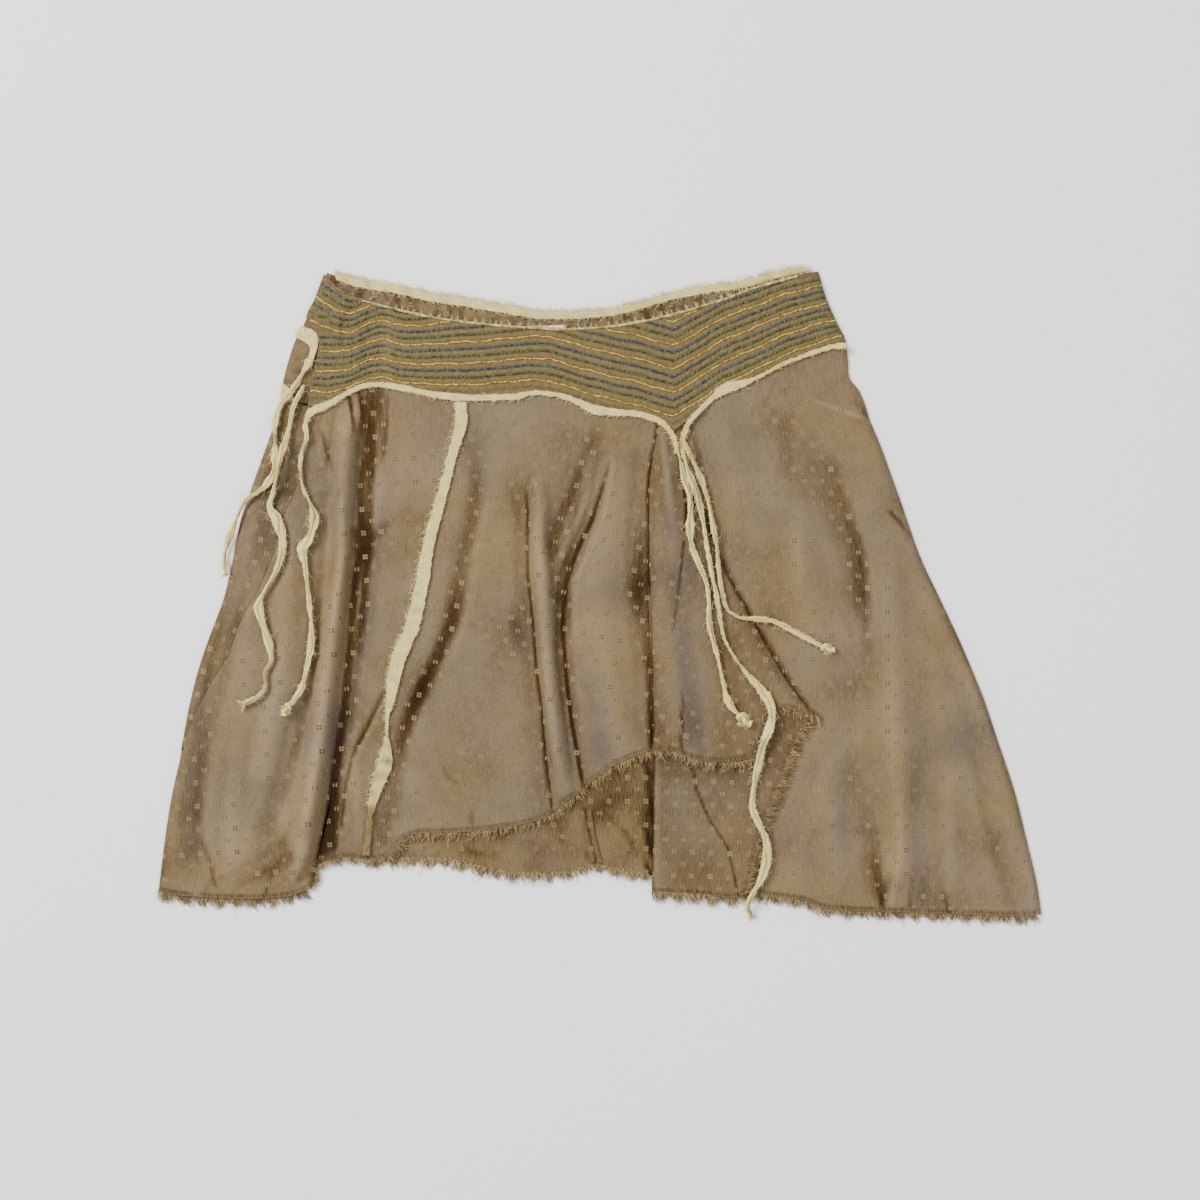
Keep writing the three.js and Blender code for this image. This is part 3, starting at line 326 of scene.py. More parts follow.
# two turns round the strip and a turn that lies over them: place along the strip, slant, radius and
# thickness as shares of the width
TURNS = [(-0.14, (0.5, 1.0, 0.2), 0.22, 0.15), (0.13, (-0.6, 1.5, 0.7), 0.22, 0.16),
    (0.02, (0.5, 0.35, 0.6), 0.22, 0.14)]
for key, (centre, wide) in KNOTS.items():
    tie = TIES[key]
    ahead = unit(tie["path"][-1] - tie["path"][-14])
    bpy.ops.object.select_all(action="DESELECT")
    parts = []
    for at, lean, big, fat in TURNS:
        bpy.ops.mesh.primitive_torus_add(major_segments=28, minor_segments=12, major_radius=wide * big,
            minor_radius=wide * fat, location=(wide * at, 0, 0), rotation=lean)
        parts.append(bpy.context.object)
    # the strip's flared end and the knot's core
    bpy.ops.mesh.primitive_cone_add(vertices=14, radius1=wide * 0.24, radius2=wide * 0.10, depth=wide * 0.45,
        location=(wide * 0.42, wide * 0.05, 0), rotation=(0.3, -1.57, 0.2))
    parts.append(bpy.context.object)
    bpy.ops.mesh.primitive_uv_sphere_add(segments=16, ring_count=10, radius=wide * 0.27, location=(0, 0, 0))
    core = bpy.context.object
    parts.append(core)
    for part in parts:
        part.select_set(True)
    bpy.context.view_layer.objects.active = core
    bpy.ops.object.join()
    bpy.ops.object.transform_apply(location=True, rotation=True, scale=True)
    bpy.ops.object.mode_set(mode="EDIT")
    bpy.ops.mesh.select_all(action="SELECT")
    bpy.ops.transform.resize(value=(0.92, 0.92, 0.66))
    bpy.ops.object.mode_set(mode="OBJECT")
    bpy.ops.object.modifier_add(type="REMESH")
    core.modifiers[0].voxel_size = 0.00042
    bpy.ops.object.modifier_apply(modifier=core.modifiers[0].name)
    bpy.ops.object.modifier_add(type="SMOOTH")
    core.modifiers[0].iterations = 4
    bpy.ops.object.modifier_apply(modifier=core.modifiers[0].name)
    core.rotation_euler = (0, 0, math.atan2(ahead[1], ahead[0]))
    core.location = centre
    bpy.ops.object.transform_apply(location=True, rotation=True, scale=True)
    core.name = "knot_of_tie_" + key
    core.data.name = core.name
    co = np.array([vertex.co for vertex in core.data.vertices]) - centre
    for layer in list(core.data.uv_layers):
        core.data.uv_layers.remove(layer)
    grain_map(core.data, co[:, :2])
    # painted shade deep in the knot, lighter on its outer turns
    far = np.linalg.norm(co * [1, 1, 1.4], axis=1) / wide
    point_values(core.data, "shade", np.clip((far - 0.33) * 8, -1, 0.7))
    core.data.materials.clear()
    core.data.materials.append(torn_voile)
    bpy.ops.object.shade_smooth()
    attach(core, "root")
    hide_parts(tie["knot"])
    rng = np.random.default_rng(tie["seed"] + 1)
    tuft = []
    for k in range(90):
        swing = rng.uniform(-1.5, 1.5)
        c, s = math.cos(swing), math.sin(swing)
        rise = rng.uniform(-0.25, 0.25)
        way = np.array([ahead[0] * c - ahead[1] * s, ahead[0] * s + ahead[1] * c, rise])
        start = np.array(centre) + way * wide * 0.30
        reach = rng.uniform(0.15, 0.40) * wide * (1 if abs(swing) < 0.6 else 0.6)
        bend = np.array([-way[1], way[0], 0]) * rng.normal(0, 0.3) * reach
        tuft.append([start + way * reach * s + (bend - [0, 0, 0.0010]) * s * s for s in (0, 0.5, 1)])
    tie["knot_piece"] = core
    tie["tuft"] = threads("knot_threads_" + key, tuft, 0.00019, torn_voile, tie["seed"],
        darkest=0.0)

# ---- Floor and light ----
# A plain pale surface, a large soft lamp from the upper left, a weak one from the lower right and a pale room
# all round.
bpy.ops.object.select_all(action="DESELECT")
bpy.ops.mesh.primitive_plane_add(size=8, location=(0, 0, -0.0003))
floor = bpy.context.object
floor.name = "pale_floor"
paper, add, surface = new_material("matt pale paper")
add("BsdfPrincipled", Base_Color="#F5F4F2", Roughness=0.9, Specular_IOR_Level=0.2, to=surface)
floor.data.materials.append(paper)
bpy.ops.object.select_all(action="DESELECT")
# each lamp's place, its turn about Y and about Z towards the skirt, its size, power and colour
LAMPS = [((-2.5, 1.78, 2.5), (0.0, -0.885, -0.617), 1.5, 255, (1.0, 0.985, 0.955)),
    ((1.3, -0.7, 2.0), (0.0, 0.636, -0.494), 1.8, 26, (0.95, 0.97, 1.0))]
for place, turn, size, watts, tint in LAMPS:
    bpy.ops.object.light_add(type="AREA", location=place, rotation=turn)
    lamp = bpy.context.object
    lamp.data.size = size
    lamp.data.energy = watts
    lamp.data.color = tint
room = bpy.data.worlds.new("pale room")
bpy.context.scene.world = room
room.use_nodes = True
room.node_tree.nodes["Background"].inputs[0].default_value = (0.95, 0.97, 1.0, 1)
room.node_tree.nodes["Background"].inputs[1].default_value = 0.85

# ---- Back of the skirt ----
# Two satin gores, joined by an overlocked seam at the centre back, and a back yoke of the same satin. They
# lie flat on the floor; their insides show below the front's raised hem and above its waist.
MM = 0.001
UNDERSIDE = 0.02  # mm: the back's lower face above the floor
CLOTH, LOW, SEAM, OVER = 1.5, 1.8, 3.6, 5.4  # mm: a wall, and the heights at which one layer lies on another
left_edge = places("""-256 157, -260 144, -270 116, -280 88, -288 64, -296 24, -302 0, -314 -32, -322 -56,
    -329 -84, -336 -121""")
left_edge_low = places("-334 -119, -339 -137, -344 -160, -350 -200, -354 -233")
right_edge = places("""198 203, 199 190, 200 178, 207 169, 212 158, 216 145, 224 126, 240 82, 257 34, 272 2,
    288 -32, 300 -60, 308 -80, 319 -113, 332 -152, 342 -192, 350 -226, 354 -252""")
yoke_left = places("-221 261, -229 240, -235 226, -229 217, -225 208, -226 197, -231 176, -234 155")
yoke_right = places("175 263, 182 240, 190 222, 196 210, 198 203")
yoke_back_low = places("-254.6 173, -236 170, -190 172, -150 176, -100 174, -60 172, -11 163")
yoke_back_low_right = places("-11 163, 20 158, 58 158, 90 175, 120 190, 160 202, 197 206")
centre_back = places("-11 163, -12 0, -14 -100, -12 -164, -8 -190, -3 -212")


def nearest(path, x, y):
    """Distance to a run of places, the side of it (1 on the right of one that runs down) and its share."""
    best, side, share = np.full(x.shape, 1e9), np.ones(x.shape), np.ones(x.shape)
    for a, b in zip(path, path[1:]):
        sa, sb = (a[2], b[2]) if len(a) > 2 else (1, 1)
        dx, dy = b[0] - a[0], b[1] - a[1]
        t = np.clip(((x - a[0]) * dx + (y - a[1]) * dy) / max(dx * dx + dy * dy, 1e-9), 0, 1)
        ox, oy = x - a[0] - t * dx, y - a[1] - t * dy
        d = np.hypot(ox, oy)
        closer = d < best
        best = np.where(closer, d, best)
        side = np.where(closer, np.where(dx * oy - dy * ox >= 0, 1, -1), side)
        share = np.where(closer, sa + t * (sb - sa), share)
    return best, side, share


def ramp(s):
    """0 below 0, 1 above 1 and smooth between."""
    s = np.clip(s, 0, 1)
    return s * s * (3 - 2 * s)


def crumple(x, y, size, seed):
    """Soft uneven waves of about that size in mm, from -1 to 1."""
    rng = np.random.default_rng(seed)
    total = np.zeros(np.shape(x))
    for k in range(7):
        way, phase, scale = rng.uniform(0, math.pi), rng.uniform(0, 6.28), size * rng.uniform(0.6, 1.7)
        total = total + np.sin((x * math.cos(way) + y * math.sin(way)) * 2 * math.pi / scale + phase)
    return total / 4


def strokes(table, x, y):
    """What the folds of a table add: each has its places with shares, widths left and right, and a height."""
    total = np.zeros(x.shape)
    for path, left, right, high in table:
        d, side, share = nearest(path, x, y)
        s = np.minimum(d / np.where(side > 0, right, left), 1)
        total += high * share * (1 - s * s) ** 2
    return total


def gore(rails, uppers, lowers):
    """A grid of places between rails that run down and cross lines at their ends; mm."""
    parts = []
    for k, (upper, lower) in enumerate(zip(uppers, lowers)):
        left, right = rails[k], rails[k + 1]
        v = np.linspace(0, 1, len(left))[:, None, None]
        u = np.linspace(0, 1, len(upper))[None, :, None]
        part = (left[:, None] * (1 - u) + right[:, None] * u + upper[None] * (1 - v) + lower[None] * v
            - upper[0] * (1 - u) * (1 - v) - upper[-1] * u * (1 - v) - lower[0] * (1 - u) * v
            - lower[-1] * u * v)
        parts.append(part if k == 0 else part[:, 1:])
    return np.concatenate(parts, axis=1)


def drawn_in(grid, left=0, right=0, top=0, bottom=0):
    """The grid with its border drawn in by some mm, so that neighbours don't touch."""
    grid = grid.copy()
    for by, at, to in ((left, np.s_[:, 0], np.s_[:, 1]), (right, np.s_[:, -1], np.s_[:, -2]),
            (top, np.s_[0], np.s_[1]), (bottom, np.s_[-1], np.s_[-2])):
        if by:
            way = grid[to] - grid[at]
            grid[at] = grid[at] + by * way / (np.linalg.norm(way, axis=-1, keepdims=True) + 1e-9)
    return grid


def wall(name, grid, top, under, material, shade, lean, node):
    """A closed cloth wall over a grid of places, between two heights in mm; lean turns the cloth's grain."""
    rows, cols = grid.shape[:2]
    x, y = grid[..., 0], grid[..., 1]
    points = np.concatenate([np.stack([x, y, height], 2).reshape(-1, 3) for height in (top, under)])
    index = np.arange(rows * cols).reshape(rows, cols)
    a, b, c, d = (v.ravel() for v in (index[:-1, :-1], index[1:, :-1], index[1:, 1:], index[:-1, 1:]))
    low = rows * cols
    ring = np.concatenate([index[:, 0], index[-1, 1:], index[:-1, -1][::-1], index[0, 1:-1][::-1]])
    after = np.roll(ring, -1)
    faces = [*np.stack([a, b, c, d], 1), *(np.stack([a, d, c, b], 1) + low),
        *np.stack([ring, ring + low, after + low, after], 1)]
    turn = math.radians(lean)
    slope = np.gradient(top, axis=1) * 0.5
    u = (x + slope) * math.cos(turn) - y * math.sin(turn)
    v = (x + slope) * math.sin(turn) + y * math.cos(turn)
    uv = np.tile(np.stack([u, v], 2).reshape(-1, 2) * MM, (2, 1))
    shade = np.tile(np.clip(shade, -1, 1).ravel(), 2)
    piece = cloth_piece(name, points * MM, faces, material, uv, shade)
    # the painted lilac sheen, a number for each point
    point_values(piece.data, "painted_lilac_sheen", np.tile(strokes(PAINTED_LILAC_SHEEN, x, y).ravel(), 2))
    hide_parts(node)
    return piece


def folds(text):
    """A table of folds: the widths on the left and right, the height, and places with their share of it."""
    table = []
    for fold in text.split(";"):
        sizes, path = fold.split(":")
        table.append(([(*place, 1.0)[:3] for place in places(path)], *map(float, sizes.split())))
    return table


# painted lilac sheen: where the satin's warp faces the light and looks lilac grey
PAINTED_LILAC_SHEEN = folds("""
  7 9 1: -209 -60 .3, -211 -110, -214 -160, -215 -200;
  8 13 .8: -176 100 .3, -176 50 .8, -188 -20, -196 -70, -204 -110 .8;
  15 20 1.1: 62 60 .2, 66 10 .7, 67 -40, 72 -80, 74 -112;
  6 6 1: 54 140 .8, 56 100, 57 50 .8;
  11 11 .8: -318 -60 .4, -322 -110, -326 -160, -326 -200 .7;
  11 11 .6: -256 110 .5, -268 60, -280 20 .6;
  17 20 .8: -6 -40 .3, -2 -90, 0 -122;
  14 14 .5: -95 130 .4, -100 100 .8, -88 60 .5;
  17 17 .8: 248 -20 .3, 252 -90 .8, 256 -150, 252 -235;
  13 15 .7: 190 -120 .3, 194 -180, 196 -232 .8;
  17 17 .5: 280 -60 .3, 288 -110 .9, 296 -160 .6;
  13 13 .6: 240 110 .4, 252 70 .9, 262 20 .5""")


# Jacquard satin of silk and viscose, woven with a small repeat: brown, with a painted lilac grey sheen on
# what faces up and painted warm brown shade in the folds. The repeat is a four-petal sprig and a pair of
# dashes, dull on the painted sheen.
REPEAT = (14.8, 19, 0)  # mm: the woven repeat's width and height
# each mark's shift as a share of the repeat, its nearer petal's centre in mm and that petal's half size in mm
MARKS = [((0, 0, 0), (1.05, 1.05, 0), (1, 1, 1)), ((0.5, 0.5, 0), (1.15, 0, 0), (0.6, 1.9, 9))]


def satin_material(name, deepest, dark, middle, light, sprig_dark, sprig_light, slubs):
    """The satin from its darkest colour, for painted shade, to its lightest, for painted sheen;
    its sprigs' two colours and its slubs' strength.
    """
    material, add, surface = new_material(name)
    grain = add("UVMap", uv_map="grain")
    place = add("TexCoord").outputs["Object"]
    tone = add("Attribute", attribute_name="shade").outputs["Fac"]
    marks = []
    # drawn twice, a third of a mm apart, to paint the lit and the shaded side that the thick threads have
    for nudge in ((0, 0, 0), (0.00042, -0.00042, 0)):
        cell = add("VectorMath", grain, nudge, operation="ADD")
        # the place on the cloth counted in repeats
        cell = add("VectorMath", cell, (0.0148, 0.019, 1), operation="DIVIDE")
        for shift, near, size in MARKS:
            petal = cell
            steps = (("ADD", shift), ("FRACTION",), ("SUBTRACT", (0.5, 0.5, 0)), ("MULTIPLY", REPEAT),
                ("ABSOLUTE",), ("SUBTRACT", near), ("DIVIDE", size), ("LENGTH",))
            for step, *by in steps:
                petal = add("VectorMath", petal, *by, operation=step)
            # 1 inside the mark, with a soft edge
            marks.append(add("MapRange", petal, 0.78, 1.04, 1.0, 0.0))
    mark = add("Math", marks[0], marks[1], operation="MAXIMUM")
    # the nudged marks less the marks: each sprig's painted lit edge and painted shaded edge
    rim = add("Math", marks[2], marks[3], operation="MAXIMUM")
    rim = add("Math", rim, mark, operation="SUBTRACT")
    # painted light on the sprigs: at random, some of them catch the light and some don't
    painted_sprig_light = add("TexNoise", Vector=place, Scale=55.0, Detail=1.0)
    painted_sprig_light = add("MapRange", painted_sprig_light, 0.36, 0.58, 0.55)
    mark = add("Math", mark, painted_sprig_light, operation="MULTIPLY")
    rim = add("Math", rim, painted_sprig_light, operation="MULTIPLY")
    rim = add("Math", rim, 0.62, operation="MULTIPLY")
    # weft slubs 0.5 mm wide and 9 mm long, coarser than the real 0.2 mm threads so that they show
    slub, weave = (
        add("TexNoise", Vector=add("Mapping", Vector=grain, Scale=scale), Scale=1.0, Detail=2.0)
        for scale in ((900, 110, 1), (300, 1150, 1)))
    patch = add("TexNoise", Vector=place, Scale=17.0, Detail=4.0)
    # the tone: the painted shade and sheen, random patches and slubs, the sprigs' painted edges and the weave
    for noise, by in ((patch, 0.24), (slub, slubs), (rim, None), (weave, 0.12)):
        if by:
            noise = add("MapRange", noise, 0.3, 0.7, -by, by)
        tone = add("Math", tone, noise, operation="ADD")
    tone = add("MapRange", tone, -1.0, 1.0)
    # the painted shade and sheen as colour; the sprigs painted lighter in the shade and darker on the sheen
    colour = add("ValToRGB", Fac=tone, stops=((0, deepest), (1, light), (0.17, dark), (0.5, middle)))
    sprig = add("ValToRGB", Fac=tone, stops=((0.33, sprig_light), (0.54, sprig_dark)))
    # in some places the golden weft shows through and in others the greyer warp
    hue = add("TexNoise", Vector=place, Scale=11.0, Detail=2.0)
    # the painted lilac sheen pulls the tint towards lilac grey
    painted_lilac_sheen = add("Attribute", attribute_name="painted_lilac_sheen").outputs["Fac"]
    hue = add("Math", painted_lilac_sheen, -0.42, hue, operation="MULTIPLY_ADD")
    tint = add("ValToRGB", Fac=hue, stops=((0.38, "#F5F5FA"), (0.62, "#FFF9EB"), (0.08, "#DAD7F0")))
    colour = add("Mix", 1.0, colour, tint, data_type="RGBA", blend_type="MULTIPLY")
    share = add("Math", mark, 0.74, operation="MULTIPLY")
    colour = add("Mix", share, colour, sprig, data_type="RGBA")
    rough = add("MapRange", mark, To_Min=0.46, To_Max=0.75)
    height = add("Math", mark, 0.5, operation="MULTIPLY")
    height = add("Math", height, weave, operation="ADD")
    fine = add("Bump", Strength=0.35, Distance=0.00025, Height=height)
    creases = add("TexNoise", Vector=place, Scale=70.0, Detail=3.0)
    soft = add("Bump", Strength=0.30, Distance=0.0012, Height=creases, Normal=fine)
    add("BsdfPrincipled", Base_Color=colour, Roughness=rough, Specular_IOR_Level=0.14,
        Specular_Tint="#FFE6C0", Normal=soft, to=surface)
    return material


satin_inside = satin_material("jacquard satin, inside",
    "#1E0F05", "#382813", "#66553C", "#857254", "#4A3A22", "#8E7749", 0.26)
satin = satin_material("jacquard satin",
    "#1E0F05", "#3A2913", "#6E5F49", "#938065", "#372917", "#937D56", 0.13)


def back_gore(name, grid, node, seed):
    """One flat gore of the back, its underside on the floor."""
    x, y = grid[..., 0], grid[..., 1]
    top = 0.9 + 0.30 * crumple(x, y, 34, seed) + 0.10 * crumple(x, y, 11, seed + 1)
    curls = strokes(folds("""
  2.5 2.5 1: -36 -164 .3, -38 -180, -32 -194 .9, -14 -201 .4;
  2.5 2.5 1: -118 -196 .2, -100 -204 .8, -84 -208 .4;
  2.5 3 1: 12 -176 .3, 24 -192, 27 -206 .8, 22 -214 .3"""), x, y)
    top = top - 0.4 * curls
    # painted shade in the curls and up under the front's hem, over a tone that varies at random
    dark = 0.02 - 0.28 * ramp((y + 190) / 22) - 0.35 * curls + 0.25 * crumple(x, y, 30, seed + 2)
    # it is in shadow beside the underlay's fold
    dark = dark - 1.3 * np.exp(-((x - 40.0) / 2.6) ** 2) * ramp((-y - 118) / 20) * (x > 0)
    top, under = np.clip(top, 0.5, 1.45), np.full(x.shape, UNDERSIDE)
    return wall(name, grid, top, under, satin_inside, dark, 0, node)


back_left_low = places("""-352 -226, -300 -234, -250 -232, -236 -226, -228 -213, -200 -207, -160 -207,
    -122 -208, -91 -215, -68 -219, -38 -219, -20 -216, -3 -212""")
back_right_low = places("""-3 -212, 16 -216, 41 -221, 80 -226, 124 -229, 160 -236, 200 -243, 240 -245,
    300 -247, 351 -245""")
rows = 76
side = smooth_line([(-254.6, 172.7), *left_edge, *left_edge_low[1:-1], (-352, -226)], rows)
grid = gore([side, smooth_line(centre_back, rows)], [smooth_line(yoke_back_low, 60)],
    [smooth_line(back_left_low, 60)])
gore_back_left = back_gore("cloth_back_gore_left", drawn_in(grid, 0.5, 0.15, 0.3), "back_gore_left", 3)
side = smooth_line([(197, 205.7), *right_edge[1:-1], (351, -245)], rows)
grid = gore([smooth_line(centre_back, rows), side], [smooth_line(yoke_back_low_right, 66)],
    [smooth_line(back_right_low, 66)])
gore_back_right = back_gore("cloth_back_gore_right", drawn_in(grid, 0.15, 0.5, 0.3), "back_gore_right", 9)
back_top = places("""-219 262.5, -194 254, -163 248.5, -136 242.5, -107 237.5, -78 232, -49 227.5, -20 227.5,
    9 230.5, 33 236, 60 243.5, 85 247.5, 105 250.5, 125 252.5, 147 259, 175 263.5""")
grid = gore([smooth_line(places("-219 262.5, -229 240, -238 220, -244 209, -251 188, -254.6 173"), 44),
    smooth_line(places("175 263.5, 182 240, 190 222, 196 211, 197 206"), 44)], [smooth_line(back_top, 150)],
    [smooth_line([*yoke_back_low, *yoke_back_low_right[1:]], 150)])
x, y = grid[..., 0], grid[..., 1]
softly = 0.6 + 0.4 * crumple(x, y, 20, 6)
gathers = ramp((x + 222) / 12) * np.sin(x * 0.52 + 2.2 * np.sin(x * 0.11) + 0.05 * y) * softly
top = 0.95 + 0.30 * gathers + 0.12 * crumple(x, y, 6, 6)
# painted shade in the gathers' troughs and a painted highlight on their ridges, over a tone that varies at
# random
yoke_back = wall("cloth_back_yoke", grid, np.clip(top, 0.5, 1.5), np.full(x.shape, UNDERSIDE), satin,
    -0.22 + 0.28 * gathers + 0.16 * crumple(x, y, 9, 7), 90, "back_yoke")

# The centre back's seam allowance: both raw edges overlocked together and pressed to one side.
seam_line = smooth_line(places("-11.6 -167, -10.5 -176, -8 -190, -3 -210.5"), 110)
across = np.linspace(-4.4, 4.4, 9)
grid = np.stack([seam_line[:, None, 0] + across[None, :], np.repeat(seam_line[:, 1:2], 9, axis=1)], 2)
top = 2.5 + 0.10 * np.sin(grid[..., 1] * 4.4) * (np.abs(across) > 2) - 0.25 * np.exp(-(across / 0.8) ** 2)
allowance = wall("cloth_back_seam_allowance", grid, top, top - 0.6, satin_inside,
    -0.2 + 0.12 * np.sin(grid[..., 1] * 4.4) - 0.5 * np.exp(-(np.abs(across) - 0.2) ** 2), 0,
    "back_seam_allowance")

# ---- Front gores ----
# Gores of the same jacquard satin, sewn side by side. The left one holds a deep pleat, the centre one two
# long creases and a rolled ridge, the godet lies aslant over the right one, and an underlay closes the slit.
waist = [places("-234 155, -222 156, -205 164, -190 169"),
    places("-190 169, -178 172, -162 171, -145 167, -128 164, -111 162"),
    places("-111 162, -90 161, -68 162, -52 165"), places("-52 165, -35 163, -20 158, -8 152, 4 150"),
    places("4 150, 28 149, 46 143"), places("46 143, 52 140, 59 135"),
    places("59 135, 70 144, 82 154, 92 163, 106 169, 122 175"),
    places("122 175, 134 183, 148 189, 165 196, 182 202, 198 203")]
side_seam = places("""-234 155, -236 130, -240 99, -254 63, -259 43, -273 9, -287 -15, -299 -46, -313 -69,
    -325 -94, -334 -119""")
pleat = places("""-190 169, -187 140, -190 100, -193 60, -194 40, -198 0, -201 -40, -206 -90, -211 -130,
    -217 -170, -224 -200, -231 -231""")
front_seam = places("""-111 162, -111 142, -119 112, -129 72, -137 44, -143 12, -150 -21, -163 -54, -168 -76,
    -170 -95, -171 -110, -175 -130, -181 -150, -185 -170, -185 -190, -186 -208""")
crease_one = places("""-52 165, -54 120, -56 84, -59 54, -58 23, -54 -15, -51 -54, -47 -85, -44 -123,
    -40 -172""")
crease_two = places("""4 150, 5 125, 4 100, -2 77, -14 46, -25 18, -29 -23, -27 -54, -25 -77, -19 -115,
    -12 -148""")
godet_seam = places("46 143, 43 120, 39 99, 39 60, 39 23, 41 -8, 42 -54, 42 -90, 41 -120")
godet_edge = places("""59 135, 70 108, 80 80, 90 50, 98 28, 108 10, 123 -18, 138 -45, 150 -67, 161 -80,
    175 -93""")
right_hidden = places("""59 135, 65 105, 73 64, 82 30, 94 6, 106 -18, 119 -45, 128 -72, 130 -98, 127 -130,
    121 -160, 114 -190, 109 -213, 108 -232""")
right_middle = places("""122 175, 150 130, 176 100, 190 70, 203 32, 208 -16, 212 -80, 214 -150, 212 -200,
    212 -249""")
underlay_fold = places("43 -100, 42.5 -150, 42 -200, 41.5 -234")
underlay_rise = places("104 -103, 117 -125, 114 -150, 109 -180, 103 -210, 100 -238")
slit = places("168 -91, 154 -118, 146 -140, 138 -160, 131 -178, 125 -201, 120 -222, 117 -235")
hem_left = places("-354 -233, -340 -236, -316 -238, -300 -239, -272 -239, -250 -237, -240 -234, -231 -231")
hem_pleat = places("-231 -231, -229 -220, -226 -212, -215 -208, -203 -206, -186 -208")
hem_centre = [places("""-186 -208, -172 -206, -163 -199, -157 -190, -145 -187, -120 -186, -100 -185,
    -70 -181, -52 -177, -40 -172"""), places("-40 -172, -30 -163, -20 -157, -12 -148"),
    places("-12 -148, 0 -140, 10 -133, 20 -128, 41 -120")]
hem_godet = places("""41 -120, 60 -121, 72 -126, 90 -129, 110 -128, 122 -124, 130 -108, 135 -94, 142 -86,
    155 -88, 175 -93""")
hem_right = [places("108 -232, 124 -235, 145 -238, 165 -241, 177 -246, 195 -248, 212 -249"),
    places("212 -249, 240 -250, 270 -251, 300 -252, 330 -253, 354 -252")]
# the folds: places with their share of the height, width on the left and on the right, height; mm
FOLDS = folds("""
  7 16 -4.2: -188 150 .5, -189 110, -193 50 1.2, -198 0, -206 -90, -217 -170 1.1, -226 -210;
  15 10 4.6: -199 150 .5, -204 90 .8, -208 20 .9, -214 -40, -222 -110 1.1, -231 -170 1.2, -240 -215;
  13 12 -2: -216 80 .6, -213 40, -222 -15, -236 -80 .9, -252 -150, -266 -185 .8;
  16 14 1.8: -247 70 .6, -248 0, -255 -70, -268 -140 .9;
  13 16 -2.2: -284 60 .4, -292 0 .8, -304 -60, -318 -120, -327 -180 1.1, -320 -215 .6;
  14 14 -2: -305 -236 .6, -282 -222, -262 -211, -240 -192 .8;
  8 9 2.4: -198 -112 .5, -198 -150, -196 -192 .9;
  13 15 -2.6: -104 112 .4, -102 77 .8, -111 40, -116 -8, -127 -34, -143 -60, -158 -105 .6;
  14 6 -2.4: -56 84 .6, -59 54 .9, -57 10 .8, -51 -54 .9, -44 -123, -39 -160 .6;
  10 10 3.4: -48 90 .6, -46 40 .8, -44 -10 .9, -40 -70, -34 -120, -29 -152 .7;
  9 9 -3.4: 4 112 .6, -2 77 .9, -14 46, -26 18 1.2, -29 -40, -24 -80, -18 -120 .8, -14 -140 .4;
  12 12 -2: -12 122 .6, -24 90 .9, -35 62, -38 40 .8;
  9 9 -1.6: -60 10 .6, -64 -16, -60 -38 .7;
  18 18 2: 10 60 .5, 2 10, 4 -50, 12 -100 .6;
  15 12 -2.8: 36 112 .5, 33 50 .9, 32 0 1.1, 38 -50 .9, 40 -105 .7;
  10 11 1.8: 52 90 .5, 51 40, 52 -40, 53 -95 .8;
  12 12 -1.4: 152 140 .7, 150 100 .6;
  16 15 -2.4: 172 125 .4, 186 78 .8, 204 30, 208 -18 .7;
  18 20 1.9: 222 90 .5, 228 20 .8, 232 -60 .8, 236 -150, 236 -215 1.1;
  20 20 1.5: 160 60 .5, 166 0 .8, 180 -80 .7, 186 -170 .8;
  12 12 -2: 222 -190 .4, 218 -215, 224 -240 .9;
  14 10 -2.2: 300 -110 .4, 318 -180 .8, 331 -225, 336 -246 .8""")
